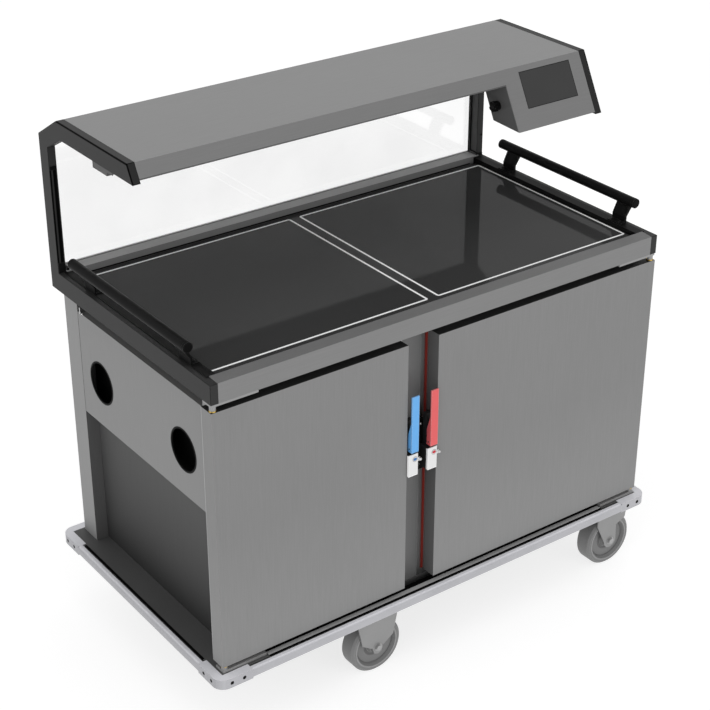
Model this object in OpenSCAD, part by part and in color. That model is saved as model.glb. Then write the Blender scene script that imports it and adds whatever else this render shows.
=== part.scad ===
// Meal delivery trolley: two insulated cabinets, a heated glass worktop and a lit canopy.
// Millimetres. X runs to the right, Y to the back, Z up. The origin is on the floor, under the
// middle of the bumper.

/* [Overall] */
// Length over the two side frames and over the outer edges of the doors
body_len = 1400; // [1200:1:1600]
// Depth from the fronts of the doors to the rear faces
body_dep = 770; // [660:1:900]
// How far the body sits in front of the bumper's middle line
body_shift = 3; // [0:1:8]
// Height of the top edge of the worktop frame
worktop_h = 1040; // [900:1:1200]
// Height of the canopy's top above the worktop frame
upper_h = 427; // [380:1:560]
// Height of the beams round the worktop
beam_h = 52; // [46:1:70]

/* [Base and bumper] */
// Overhang of the bumper beyond the side frames
bumper_side = 28; // [25:1:50]
// Overhang of the bumper beyond the fronts of the doors
bumper_fore = 26; // [23:1:50]
// Height of the underside of the base
base_under = 198; // [196:1:230]
// Thickness of the base and of the bumper
base_t = 28; // [22:1:40]
// Distance from the bumper's outer face to the edge of the base plate
base_inset = 20; // [18:1:22]
// Thickness of the bumper rails
bumper_rail_t = 14; // [10:1:16]
// Length of each leg of a corner casting
casting_leg = 99; // [80:1:140]
// Thickness of the legs of a corner casting
casting_t = 25; // [22:1:28]
// Outer radius of a corner casting
casting_r = 32; // [20:1:45]

/* [Casters] */
// Wheel radius
wheel_r = 80; // [70:1:84]
// Wheel width
wheel_w = 52; // [40:1:56]
// Radius of the wheel axles
axle_r = 6; // [4:0.5:8]
// Distance from the bumper's long faces to the centre planes of the wheels
wheel_inset = 71; // [64:1:94]
// Distance of the fixed axle to the left of the middle
fixed_axle_x = 213; // [150:1:400]
// Distance from the bumper's right-hand face to the axes of the swivel heads
swivel_inset = 77; // [73:1:128]
// Distance from a swivel head's axis to its wheel axle
swivel_trail = 19; // [12:1:26]
// Sheet thickness of the forks
fork_t = 4; // [3:0.5:5]
// Gap between a wheel and its fork
fork_gap = 2.5; // [1:0.5:5]

/* [Cabinets] */
// Right-hand side of the cold cabinet, to the left of the middle
cold_right = 120; // [110:1:125]
// Left-hand side of the hot cabinet, to the left of the middle
hot_left = 60; // [50:1:62]
// Distance from the side frames' outer faces to the outer sides of the cabinets
cabinet_inset = 65; // [60:1:80]
// Distance from the outer skin to the inner liner
wall_t = 32; // [24:1:45]
// Sheet thickness of the outer skins
skin_t = 1.2; // [1:0.1:2]
// Sheet thickness of the liners
liner_t = 1; // [1:0.1:2]
// Distance from the side frames' outer faces to the outer faces of the corner posts
post_inset = 30; // [24:1:40]
// Depth of the front posts
front_post_dep = 40; // [30:1:60]
// Depth of the rear posts
rear_post_dep = 69; // [50:1:90]
// Lower edge of the pierced left-hand panel
panel_low = 640; // [560:1:700]
// Gap between that panel and the worktop frame
panel_gap = 53; // [20:1:60]
// Radius of the two holes in the panel
panel_hole_r = 56.5; // [40:0.5:70]
// Distance from the middles of the two holes to the front post and to the rear post
panel_hole_end = 102.5; // [70:0.5:150]
// Number of tray levels in each cabinet
tray_levels = 8; // [4:1:10]

/* [Doors] */
// Thickness of the doors without their seals
door_t = 45; // [40:1:46]
// Gap below the doors
door_gap_low = 19; // [17:1:26]
// Gap above the doors
door_gap_high = 21; // [19:1:30]
// Free edge of the cold door, to the left of the middle
cold_door_edge = 136; // [134:1:140]
// Free edge of the hot door, to the left of the middle
hot_door_edge = 41; // [37:1:43]
// Sheet thickness of the doors
door_skin = 1.5; // [1:0.1:2]
// Distance of the hinge axes from the front and from the side of the doors
hinge_inset = 10; // [10:0.5:12]
// Radius of the hinge pins
hinge_pin_r = 4; // [3:0.5:4.5]
// Radius of the hinge bushes where they enter the doors
hinge_bush_r = 6; // [5.5:0.5:7]
// Width of the seals
seal_w = 12; // [8:1:14]

/* [Latches] */
// Height of the lower edge of the latch plates
latch_z = 592; // [450:1:680]
// Width of a latch plate
latch_w = 29.5; // [27:0.5:31]
// Height of a latch plate
latch_h = 63; // [55:1:64]
// Width of a latch lever
lever_w = 22.5; // [20:0.5:25]
// Length of a latch lever
lever_len = 161; // [120:1:200]
// Radius of the latch pins
latch_pin_r = 2.5; // [2:0.25:3]

/* [Worktop] */
// Thickness of the glass worktop
glass_t = 6; // [4:0.5:8]
// Drop from the top of the frame to the glass
glass_drop = 11.4; // [8:0.1:16]
// Width of the side rails beside the side frames
side_rail_w = 19; // [15:1:39]
// Depth of the front fascia
fascia_dep = 36; // [28:1:44]
// Depth of the rear rail
rear_rail_dep = 52; // [46:1:70]
// Sheet thickness of the worktop frame
frame_sheet = 3; // [2:0.5:4]
// Width of the ledges under the glass
ledge_w = 16; // [10:1:20]
// Thickness of the heating mats
mat_t = 4; // [2:0.5:6]

/* [Handles] */
// Radius of the handle tubes
handle_r = 13.5; // [10:0.5:18]
// Height of the handle tubes above the worktop frame
handle_rise = 60; // [50:1:110]
// Distance from the side frames' outer faces out to the axes of the handle tubes
handle_out = 1; // [0:1:8]
// Distance from the fronts of the doors to the handle tubes' front ends
handle_front_inset = 88; // [50:1:120]
// Distance from the rear faces to the handle tubes' rear ends
handle_rear_inset = 129; // [90:1:150]
// Width of the handle brackets
bracket_w = 48.5; // [25:0.5:60]
// Thickness of the handle brackets
bracket_t = 6; // [4:0.5:8]

/* [Side frames and canopy] */
// Thickness of the side frames
frame_t = 21; // [16:1:26]
// Depth of the rear posts of the side frames
frame_post = 43; // [36:1:50]
// Thickness of the arms that carry the canopy
arm_t = 45; // [38:1:55]
// Thickness of the canopy
canopy_t = 38; // [30:1:42]
// Sheet thickness of the canopy
canopy_sheet = 3; // [2:0.5:4]
// Depth of the canopy from its top's front edge to the rear faces
canopy_dep = 446; // [400:1:520]
// Depth of the rear chamfer
chamfer_dep = 102; // [90:1:120]
// Height of the rear chamfer
chamfer_h = 61; // [50:1:70]
// Thickness of the glass screen
screen_t = 6; // [4:0.5:8]
// Width of the lamp housing
lamp_w = 70; // [50:1:90]
// Depth of the lamp housing below the canopy
lamp_h = 42; // [34:1:50]
// Radius of the lamp tubes
lamp_r = 5.5; // [4:0.5:7]

/* [Control box] */
// Width of the control box
box_w = 268; // [240:1:300]
// Drop from the canopy's top to the lower edge of the control box
box_drop = 149; // [130:1:170]
// Depth of the control box at its lower face
box_dep = 105; // [90:1:115]
// Width of the display
display_w = 173; // [140:1:190]
// Height of the display, along the sloping front
display_h = 96; // [70:1:110]
// Radius of the control knob over its lobes
knob_r = 14; // [10:0.5:16]
// Length of the control knob
knob_len = 20; // [14:1:24]

/* [Hidden] */
$fn = 64;
// Extra length of every cutting shape, so that it passes the face that it cuts
overrun = 1;
// Radial play of a piece that turns on a pin
turn_play = 0.06;
// Radial play of a pin that is fixed in its seat
seat_play = 0.02;
// Gap between pieces that are fitted side by side
fit_gap = 0.3;
// Gap round the glass worktop
glass_gap = 0.7;

// Heights and half lengths that the sizes above lead to
total_h = worktop_h + upper_h;
body_front = body_dep / 2 + body_shift;
body_rear = body_dep / 2 - body_shift;
half_len = body_len / 2;
bump_x = half_len + bumper_side;
bump_y = body_front + bumper_fore;
base_top = base_under + base_t;
deck_z = worktop_h - beam_h;
frame_in = half_len - frame_t;
glass_z = worktop_h - glass_drop;
ledge_z = glass_z - glass_t;
arm_z = total_h - arm_t;
under_z = total_h - canopy_t;
wheel_y = bump_y - wheel_inset;
swivel_x = bump_x - swivel_inset;
cabinet_side = half_len - cabinet_inset;
post_outer = half_len - post_inset;
rail_inner = frame_in - side_rail_w;
fascia_inner = body_front - fascia_dep;
rear_rail_front = body_rear - rear_rail_dep;
handle_x = half_len + handle_out;
handle_front = body_front - handle_front_inset;
handle_back = body_rear - handle_rear_inset;
box_left = frame_in - box_w;
canopy_front = canopy_dep - body_rear;
door_z0 = base_top + door_gap_low;
door_z1 = deck_z - door_gap_high;
door_back = body_front - door_t;
hinge_x = half_len - hinge_inset;
hinge_y = body_front - hinge_inset;
seal_t = 2.7;
cabinet_front = body_front - door_t - seal_t - fit_gap;

// Sheet thickness of the base, the number of its ribs and the size of the front trench
base_sheet = 2;
base_ribs = 5;
trench_front = 11;
trench_w = 36;
trench_dep = 20;
trench_end = 60;
base_x = bump_x - base_inset;
base_y = bump_y - base_inset;
notch_x = bump_x - casting_t;
notch_y = bump_y - casting_t;

// Bumper screws: head radius, head thickness, seat depth and places along a leg
screw_r = 5;
screw_t = 2.6;
screw_sink = 3;
screw_places = [38, 74];

// Top plates of the casters
caster_plate_x = 140;
caster_plate_y = 110;
swivel_plate_x = 106;
caster_plate_t = 6;
caster_pad_rim = 20;

// Wheel profile: tread rounding, depth of the dished sides, rim and hub radii
tread_round = 6;
dish_dep = 10;
rim_t = 17;
rim_in = wheel_r - rim_t;
rim_lip = 1;
hub_r = 21;
hub_lip = 26;

// Fixed fork outline
leg_foot = 17;
leg_foot_drop = 22;
leg_knee = 50;
leg_knee_drop = 96;
leg_knee_z = base_under - leg_knee_drop;
leg_top = 69;
foot_x_share = 0.7;
foot_z_share = 0.8;

// Swivel fork outline, measured from the axle
swivel_foot = 22;
swivel_knee_drop = 55;
swivel_knee_z = base_under - swivel_knee_drop;
swivel_back = 52;
swivel_waist = 20;
swivel_waist_drop = 70;
swivel_waist_z = base_under - swivel_waist_drop;
swivel_front = 57;
swivel_front_low = 53;
head_rise = 2;
crown_t = 10;
cup_h = 12;
cup_r = 32;
kingpin_r = 8;
kingpin_head_r = 12;
kingpin_head_t = 4;
axle_head_r = 10;
axle_head_t = 5;

// Posts and panels
panel_flange = 18;
panel_t = 2;
post_t = 3;
centre_post_dep = 60;
rear_sheet = 2;
hole_shift = 2.5;
hole_height_share = 0.44;

// Tray runners
runner_w = 16;
runner_h = 12;
runner_t = 1.5;
runner_front = 20;
runner_end = 40;
runner_margin = 60;

// Cold plate and hot element
cold_plate_t = 32;
cold_plate_inset = 24;
element_r = 4;
element_reach = 220;
element_bend = 45;
element_z = 90;
element_standoff = 30;
element_base_r = 24;
element_base_t = 6;
element_clip_t = 3;

// Power inlet on the rear panel
inlet_inset = 180;
inlet_x = half_len - inlet_inset;
inlet_z = 320;
inlet_r = 30;
inlet_t = 4;
inlet_cup_r = 22;
inlet_cup_dep = 3;
inlet_pin_r = 2.5;
inlet_pin_ring = 11;
inlet_pin_seat = 0.5;
inlet_pins = 3;

// Hinges
hinge_plate_t = 7;
hinge_plate_len = 130;
hinge_plate_dep = 34;
hinge_boss_r = 8;
bush_flange_r = 9;
bush_flange_t = 3;
bush_len = 20;
bush_bore_extra = 2;
boss_len = 26;
seal_edge = 2;
hot_seal_out = 6;
seal_side = 70;
strike_t = 20;
strike_w = 38;
strike_low = 15;
strike_h = 148;
strike_right = 2;
strike_notch_w = 20;
strike_notch_h = 60;
strike_notch_dep = 8;

// Latches: the plate's front, the lever's place in front of the pin and its webs
latch_front = 8;
latch_back = 26;
latch_pin_z = 78;
upright_front = 13;
upright_h = 153;
lever_t = 4;
lever_out = 10;
lever_low = 9;
web_t = 2;
web_dep = 13;
web_h = 84;
web_taper_h = 40;
tongue_r = 5;
dot_r = 6;
dot_t = 0.6;
dot_z = 48;
dot_x = 20;
stud_r = 5;
stud_len = 7;
stud_z = 44;
stud_front = 1;
latch_plate_edge = 2;
ear_w = 4.5;

// Worktop frame
fascia_rise = 3;
rear_rail_rise = 5;
rear_joint = 13;
rear_ledge_w = rear_joint + ledge_w;
glass_rear = rear_rail_front - rear_joint;
groove_dep = 10;
screen_inset = 13;
screen_y = body_rear - screen_inset;
cover_t = 2;
cover_lap = 8;
cover_out = frame_in + cover_lap;
mat_edge = 14;
mat_middle = 22;

// Handle brackets: distances from the tube's ends, foot length and lean
bracket_front_inset = 40.5;
bracket_rear_inset = 57;
bracket_ys = [-handle_front + bracket_front_inset, handle_back - bracket_rear_inset];
bracket_foot = 22;
bracket_foot_t = 3;
bracket_straight = 18;
handle_wall = 2;
handle_plug = 6;
saddle_share = 0.8;

// Side frame and canopy outlines
front_slope_share = 0.533;
front_lean = atan(front_slope_share);
post_in_y = body_rear - frame_post;
chamfer_top_y = body_rear - chamfer_dep;
chamfer_low_z = total_h - chamfer_h;
arm_drop = 25;
arm_back = 16;
arm_in_z = total_h - chamfer_h - arm_drop;
arm_in_y = chamfer_top_y - arm_back;
lining_bend = 10;
lining_bend_y = chamfer_top_y - lining_bend;
screen_over = 12;
screen_top = arm_in_z + screen_over;
cheek_extra = 5;
cheek_z = total_h - box_drop - cheek_extra;
cheek_dep = 110;
cheek_top_inset = 86;
cheek_top_back = -canopy_front + cheek_top_inset;
box_z = total_h - box_drop;
box_rise = 4;
box_top_inset = 81;
box_top_back = -canopy_front + box_top_inset;
box_sheet = 3;
lining_cut = 50;
track_w = 5;
track_lip = 2.5;
track_floor = 2;
shoe_w = 7;
shoe_h = 7;

// Lamp housing and tubes
lamp_inset = 139;
lamp_front = -canopy_front + lamp_inset;
lamp_sheet = 2;
lamp_holder_t = 12;
lamp_drop = 22;
lamp_tab_len = 27;
lamp_tab_t = 7;
lamp_tab_drop = 25;

// Display and knob
display_drop = 17;
display_side = 52;
display_x = box_left + display_side + display_w / 2;
display_t = canopy_sheet + 2 * seat_play;
display_rim = 6;
display_case_t = 9;
knob_inset = 9;
knob_y = canopy_front - knob_inset;
knob_drop = 99;
knob_shaft_r = 3;
knob_shaft_len = 12;
knob_neck_r = 9;
knob_neck_len = 6;
knob_lobes = 5;
scallop_r = 5;
scallop_out = 2;

// A block between two corners
module block(x0, x1, y0, y1, z0, z1) translate([x0, y0, z0]) cube([x1 - x0, y1 - y0, z1 - z0]);

// An outline in Y and Z, drawn out along X
module along_x(x0, x1) translate([x0, 0, 0]) rotate([90, 0, 90]) linear_extrude(x1 - x0)
    children();

// An outline in X and Z, drawn out along Y
module along_y(y0, y1) translate([0, y1, 0]) rotate([90, 0, 0]) linear_extrude(y1 - y0)
    children();

// A rod along X, Y or Z
module rod_x(x0, x1, y, z, r) translate([x0, y, z]) rotate([0, 90, 0])
    cylinder(r = r, h = x1 - x0);
module rod_y(y0, y1, x, z, r) translate([x, y0, z]) rotate([-90, 0, 0])
    cylinder(r = r, h = y1 - y0);
module rod_z(z0, z1, x, y, r) translate([x, y, z0]) cylinder(r = r, h = z1 - z0);

// A piece and its mirror image
module left_and_right() {
    children();
    mirror([1, 0, 0]) children();
}
module front_and_back() {
    children();
    mirror([0, 1, 0]) children();
}

// Base tray: a sheet with an edge and ribs below, pads for the casters, and a trench in front
module base_plate() color("dimgray") {
    pocket_x = (2 * base_x - (base_ribs + 1) * base_sheet) / base_ribs;
    difference() {
        block(-base_x, base_x, -base_y, base_y, base_under, base_top);
        left_and_right() front_and_back()
            block(notch_x, base_x + overrun, bump_y - casting_leg, base_y + overrun,
                base_under - overrun, base_top + overrun);
        left_and_right() front_and_back()
            block(bump_x - casting_leg, base_x + overrun, notch_y, base_y + overrun,
                base_under - overrun, base_top + overrun);
        block(-half_len + trench_end, half_len - trench_end,
            -body_front + trench_front, -body_front + trench_front + trench_w,
            base_top - trench_dep, base_top + overrun);
        difference() {
            block(-notch_x + base_sheet, notch_x - base_sheet, -notch_y + base_sheet,
                notch_y - base_sheet, base_under - overrun, base_top - base_sheet);
            block(-half_len + trench_end - base_sheet, half_len - trench_end + base_sheet,
                -body_front + trench_front - base_sheet,
                -body_front + trench_front + trench_w + base_sheet,
                base_top - trench_dep - base_sheet, base_top);
            for (i = [1 : base_ribs - 1])
                block(-base_x + i * (pocket_x + base_sheet),
                    -base_x + i * (pocket_x + base_sheet) + base_sheet,
                    -base_y, base_y, base_under - overrun, base_top);
            front_and_back() {
                caster_pad(-fixed_axle_x, caster_plate_x);
                caster_pad(swivel_x, swivel_plate_x);
            }
        }
    }
}

// Stiff frame above a caster plate
module caster_pad(x, len) difference() {
    block(x - len / 2, x + len / 2, -wheel_y - caster_plate_y / 2, -wheel_y + caster_plate_y / 2,
        base_under - overrun, base_top);
    block(x - len / 2 + caster_pad_rim, x + len / 2 - caster_pad_rim,
        -wheel_y - caster_plate_y / 2 + caster_pad_rim,
        -wheel_y + caster_plate_y / 2 - caster_pad_rim,
        base_under - overrun, base_top - base_sheet);
}

// One corner casting of the bumper, at the front right
module casting() difference() {
    linear_extrude(base_t) difference() {
        union() {
            translate([bump_x - casting_leg, -bump_y])
                square([casting_leg - casting_r, casting_t]);
            translate([bump_x - casting_t, -bump_y + casting_r])
                square([casting_t, casting_leg - casting_r]);
            intersection() {
                translate([bump_x - casting_r, -bump_y + casting_r]) circle(r = casting_r);
                translate([bump_x - casting_r, -bump_y]) square([casting_r, casting_r]);
            }
        }
        translate([bump_x - casting_leg - overrun, -notch_y])
            square([casting_leg - casting_t + overrun, casting_leg]);
    }
    for (p = screw_places) translate([0, 0, base_t / 2]) {
        rod_y(-bump_y - overrun, -bump_y + screw_sink, bump_x - p, 0, screw_r + fit_gap);
        rod_x(bump_x - screw_sink, bump_x + overrun, -bump_y + p, 0, screw_r + fit_gap);
    }
}
module bumper_corners() color("silver") left_and_right() front_and_back()
    translate([0, 0, base_under]) casting();

// Bumper rails between the castings, with rounded outer edges
module rail_section(t) {
    round_r = t / 2;
    translate([0, 0]) square([t / 2, base_t]);
    translate([t / 2, round_r]) square([t / 2, base_t - 2 * round_r]);
    intersection() {
        union() {
            translate([t - round_r, round_r]) circle(r = round_r);
            translate([t - round_r, base_t - round_r]) circle(r = round_r);
        }
        translate([t / 2, 0]) square([t / 2, base_t]);
    }
}
module bumper_rails() color("silver") {
    left_and_right() along_y(-bump_y + casting_leg, bump_y - casting_leg)
        translate([bump_x - bumper_rail_t, base_under]) rail_section(bumper_rail_t);
    front_and_back() along_x(-bump_x + casting_leg, bump_x - casting_leg)
        translate([bump_y - bumper_rail_t, base_under]) rail_section(bumper_rail_t);
}

// Sunk screws in the castings
module cover_screws() color("black") left_and_right() front_and_back()
    for (p = screw_places) {
        rod_y(-bump_y + screw_sink - screw_t, -bump_y + screw_sink, bump_x - p,
            base_under + base_t / 2, screw_r);
        rod_x(bump_x - screw_sink, bump_x - screw_sink + screw_t, -bump_y + p,
            base_under + base_t / 2, screw_r);
    }

// Outer skin of a cabinet, open at the front
module cabinet_skin(x0, x1) difference() {
    block(x0, x1, -cabinet_front + liner_t, body_rear - rear_sheet, base_top,
        deck_z - frame_sheet);
    block(x0 + skin_t, x1 - skin_t, -cabinet_front, body_rear - rear_sheet - skin_t,
        base_top + skin_t, deck_z - frame_sheet - skin_t);
}

// Inner liner of a cabinet, with a flange that meets the skin at the front
module cabinet_liner(x0, x1) difference() {
    union() {
        block(x0 + wall_t - liner_t, x1 - wall_t + liner_t, -cabinet_front,
            body_rear - wall_t + liner_t, base_top + wall_t - liner_t,
            deck_z - frame_sheet - wall_t + liner_t);
        block(x0, x1, -cabinet_front, -cabinet_front + liner_t, base_top, deck_z - frame_sheet);
    }
    block(x0 + wall_t, x1 - wall_t, -cabinet_front - overrun, body_rear - wall_t,
        base_top + wall_t, deck_z - frame_sheet - wall_t);
}
module cold_cabinet() color("gray") cabinet_skin(-cabinet_side, -cold_right);
module cold_liner() color("lightsteelblue") cabinet_liner(-cabinet_side, -cold_right);
module hot_cabinet() color("gray") cabinet_skin(-hot_left, cabinet_side);
module hot_liner() color("lightsteelblue") cabinet_liner(-hot_left, cabinet_side);

// Posts at the four corners, folded channels that are open to the inside
module corner_post(y0, y1) difference() {
    block(cabinet_side, post_outer, y0, y1, base_top, deck_z);
    block(cabinet_side - overrun, post_outer - post_t, y0 + post_t, y1 - post_t,
        base_top - overrun, deck_z - post_t);
}
module corner_posts() color("gray") left_and_right() {
    corner_post(-cabinet_front, -cabinet_front + front_post_dep);
    corner_post(body_rear - rear_sheet - rear_post_dep, body_rear - rear_sheet);
}

// Side panels between the posts, with flanges folded inwards
module side_panel(z0, z1) difference() {
    block(post_outer - panel_flange, post_outer, -cabinet_front + front_post_dep,
        body_rear - rear_sheet - rear_post_dep, z0, z1);
    block(post_outer - panel_flange - overrun, post_outer - panel_t,
        -cabinet_front + front_post_dep - overrun,
        body_rear - rear_sheet - rear_post_dep + overrun, z0 + panel_t, z1 - panel_t);
}
module left_side_panel() color("gray") difference() {
    mirror([1, 0, 0]) side_panel(panel_low, deck_z - panel_gap);
    for (y = [-cabinet_front + front_post_dep + panel_hole_end - hole_shift,
            body_rear - rear_sheet - rear_post_dep - panel_hole_end - hole_shift])
        rod_x(-post_outer - overrun, -post_outer + panel_t + overrun, y,
            panel_low + (deck_z - panel_gap - panel_low) * hole_height_share, panel_hole_r);
}
module right_side_panel() color("gray") side_panel(base_top, deck_z);
module rear_panel() color("gray")
    block(-post_outer, post_outer, body_rear - rear_sheet, body_rear, base_top, deck_z);

// Post between the two cabinets, a channel that is open at the back
module centre_post() color("darkgray") difference() {
    block(-cold_right, -hot_left, -cabinet_front, -cabinet_front + centre_post_dep, base_top,
        deck_z);
    block(-cold_right + post_t, -hot_left - post_t, -cabinet_front + post_t,
        -cabinet_front + centre_post_dep + overrun, base_top - overrun, deck_z + overrun);
}

// Strike plate for both latches
module latch_strike() color("black") difference() {
    block(-hot_left - strike_right - strike_w, -hot_left - strike_right,
        -cabinet_front - strike_t, -cabinet_front, latch_z - strike_low,
        latch_z - strike_low + strike_h);
    block(-hot_left - strike_right - (strike_w + strike_notch_w) / 2,
        -hot_left - strike_right - (strike_w - strike_notch_w) / 2,
        -cabinet_front - strike_t - overrun, -cabinet_front - strike_t + strike_notch_dep,
        latch_z - strike_low + (strike_h - strike_notch_h) / 2,
        latch_z - strike_low + (strike_h + strike_notch_h) / 2);
}

// Side frames: a beam, a rear post and an arm that carries the canopy
function frame_start() = [[-body_front, deck_z], [-body_front, worktop_h],
    [post_in_y, worktop_h], [post_in_y, arm_in_z], [arm_in_y, arm_z]];
function frame_end() = [[-canopy_front, total_h], [chamfer_top_y, total_h],
    [body_rear, chamfer_low_z], [body_rear, deck_z]];
function front_y(z) = -canopy_front - (total_h - z) * front_slope_share;
module side_frame_left() color("dimgray") along_x(-half_len, -frame_in)
    polygon(concat(frame_start(), [[front_y(arm_z), arm_z]], frame_end()));
module side_frame_right() color("dimgray") along_x(frame_in, half_len)
    polygon(concat(frame_start(), [[cheek_top_back, arm_z],
        [front_y(cheek_z) + cheek_dep, cheek_z], [front_y(cheek_z), cheek_z]], frame_end()));

// Places a piece against the sloping front of the canopy
module on_front(x) translate([x, -canopy_front, total_h]) rotate([-front_lean, 0, 0])
    children();

// Canopy: the outer sheet, with an apron over the control box
lining_z = under_z + canopy_sheet;
front_t = canopy_sheet / cos(front_lean);
module canopy_shell() color("gray") difference() {
    union() {
        along_x(-frame_in, frame_in) polygon([[front_y(lining_z), lining_z],
            [-canopy_front, total_h], [chamfer_top_y, total_h], [body_rear, chamfer_low_z],
            [body_rear, arm_in_z], [body_rear - canopy_sheet, arm_in_z],
            [body_rear - canopy_sheet, chamfer_low_z - canopy_sheet / 2],
            [chamfer_top_y - canopy_sheet / 4, total_h - canopy_sheet],
            [-canopy_front + front_t - canopy_sheet * front_slope_share,
                total_h - canopy_sheet],
            [front_y(lining_z) + front_t, lining_z]]);
        along_x(box_left, frame_in) polygon([[front_y(box_z), box_z],
            [front_y(lining_z), lining_z], [front_y(lining_z) + front_t, lining_z],
            [front_y(box_z) + front_t, box_z]]);
    }
    on_front(display_x) block(-display_w / 2 - fit_gap, display_w / 2 + fit_gap, -overrun,
        canopy_sheet + overrun, -display_drop - display_h - fit_gap, -display_drop + fit_gap);
}

// Lining that closes the canopy below
module canopy_lining() color("dimgray") difference() {
    along_x(-frame_in, frame_in) polygon([[front_y(under_z), under_z],
        [lining_bend_y, under_z], [screen_y - fit_gap, arm_in_z],
        [screen_y - fit_gap, arm_in_z + canopy_sheet],
        [lining_bend_y + canopy_sheet / 3, lining_z], [front_y(lining_z), lining_z]]);
    block(box_left - fit_gap, frame_in + overrun, front_y(under_z) - overrun,
        front_y(under_z) + lining_cut, under_z - overrun, lining_z + overrun);
}

// Lamp housing: a trough under the canopy with holders for two rows of tubes
lamp_x = frame_in - fit_gap;
lamp_low = under_z - lamp_h;
module lamp_holder(x) block(x, x + lamp_holder_t, lamp_front + lamp_w / 2 - 2 * lamp_r,
    lamp_front + lamp_w / 2 + 2 * lamp_r, under_z - lamp_drop - 2 * lamp_r,
    under_z - lamp_sheet);
module lamp_housings() color("dimgray") difference() {
    union() {
        difference() {
            block(-lamp_x, lamp_x, lamp_front, lamp_front + lamp_w, lamp_low, under_z);
            block(-lamp_x + lamp_sheet, lamp_x - lamp_sheet, lamp_front + lamp_sheet,
                lamp_front + lamp_w - lamp_sheet, lamp_low - overrun, under_z - lamp_sheet);
        }
        lamp_holder(-lamp_x + lamp_sheet);
        lamp_holder(-lamp_holder_t / 2);
        lamp_holder(lamp_x - lamp_sheet - lamp_holder_t);
        block(-lamp_x, -lamp_x + lamp_sheet, lamp_front - lamp_tab_len, lamp_front,
            under_z - lamp_tab_drop - lamp_tab_t, under_z - lamp_tab_drop);
    }
    rod_x(-lamp_x + lamp_sheet + lamp_holder_t / 2, lamp_x - lamp_sheet - lamp_holder_t / 2,
        lamp_front + lamp_w / 2, under_z - lamp_drop, lamp_r + seat_play);
}
module heat_lamps() color("white") {
    for (s = [0, 1]) mirror([s, 0, 0])
        rod_x(seat_play, lamp_x - lamp_sheet - lamp_holder_t / 2 - seat_play,
            lamp_front + lamp_w / 2, under_z - lamp_drop, lamp_r);
}

// Control box: bottom, sloping back and left cheek, closed in front by the apron
box_front_z = front_y(box_z) + front_t;
box_back_y = front_y(box_z) + box_dep;
module control_box() color("dimgray") difference() {
    union() {
        along_x(box_left + box_sheet, frame_in) polygon([[box_front_z, box_z],
            [box_back_y, box_z + box_rise], [box_top_back, under_z],
            [box_top_back - box_sheet, under_z],
            [box_back_y - box_sheet, box_z + box_rise + box_sheet],
            [box_front_z + box_sheet * front_slope_share, box_z + box_sheet]]);
        along_x(box_left, box_left + box_sheet) polygon([[box_front_z, box_z],
            [box_back_y, box_z + box_rise], [box_top_back, under_z],
            [front_y(under_z) + front_t, under_z]]);
    }
    rod_x(box_left - overrun, box_left + box_sheet + overrun, -knob_y, total_h - knob_drop,
        knob_shaft_r + turn_play);
}

// Display: a pane that is flush with the sloping front and a case behind it
module display_panel() color("black") on_front(display_x) {
    block(-display_w / 2, display_w / 2, 0, display_t, -display_drop - display_h,
        -display_drop);
    block(-display_w / 2 - display_rim, display_w / 2 + display_rim, canopy_sheet + seat_play,
        canopy_sheet + display_case_t, -display_drop - display_h - display_rim,
        -display_drop + display_rim);
}

// Lobed knob on the left cheek of the control box, with its neck and shaft
module control_knob() color("black") {
    difference() {
        rod_x(box_left - knob_len, box_left - fit_gap - knob_neck_len, -knob_y,
            total_h - knob_drop, knob_r);
        for (i = [0 : knob_lobes - 1]) {
            turn = i * 360 / knob_lobes;
            rod_x(box_left - knob_len - overrun, box_left - fit_gap - knob_neck_len + overrun,
                -knob_y + (knob_r + scallop_out) * cos(turn),
                total_h - knob_drop + (knob_r + scallop_out) * sin(turn), scallop_r);
        }
    }
    rod_x(box_left - fit_gap - knob_neck_len, box_left - fit_gap, -knob_y, total_h - knob_drop,
        knob_neck_r);
    rod_x(box_left - fit_gap - knob_neck_len, box_left + knob_shaft_len, -knob_y,
        total_h - knob_drop, knob_shaft_r);
}

// Glass screen at the back, its side tracks on shoes, and the rail that it stands in
rear_top = worktop_h + rear_rail_rise;
groove_z = rear_top - groove_dep;
module glass_screen() color("white", 0.4)
    block(-frame_in + track_floor + fit_gap, frame_in - track_floor - fit_gap, screen_y,
        screen_y + screen_t, groove_z, screen_top);
module screen_tracks() color("black") left_and_right() {
    difference() {
        block(frame_in - track_w, frame_in, screen_y - fit_gap - track_lip,
            screen_y + screen_t + fit_gap + track_lip, rear_top, arm_in_z - fit_gap);
        block(frame_in - track_w - overrun, frame_in - track_floor, screen_y - fit_gap,
            screen_y + screen_t + fit_gap, rear_top - overrun, arm_in_z + overrun);
    }
    block(frame_in - shoe_w, frame_in, rear_rail_front + frame_sheet,
        screen_y - fit_gap - track_lip, rear_top, rear_top + shoe_h);
}

// Worktop frame: folded sheet profiles with ledges for the glass
module ledge_cut(y0, y1) left_and_right()
    block(rail_inner - ledge_w, frame_in + overrun, y0, y1, ledge_z - frame_sheet - overrun,
        ledge_z + overrun);
module front_fascia() color("gray") difference() {
    along_x(-frame_in, frame_in) polygon([[-body_front, deck_z], [-body_front, worktop_h],
        [-fascia_inner, worktop_h + fascia_rise], [-fascia_inner, ledge_z],
        [-fascia_inner + ledge_w, ledge_z], [-fascia_inner + ledge_w, ledge_z - frame_sheet],
        [-fascia_inner - frame_sheet, ledge_z - frame_sheet],
        [-fascia_inner - frame_sheet, worktop_h + fascia_rise - frame_sheet],
        [-body_front + frame_sheet, worktop_h - frame_sheet],
        [-body_front + frame_sheet, deck_z + frame_sheet],
        [-fascia_inner, deck_z + frame_sheet], [-fascia_inner, deck_z]]);
    ledge_cut(-fascia_inner, -fascia_inner + ledge_w + overrun);
}
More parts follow.
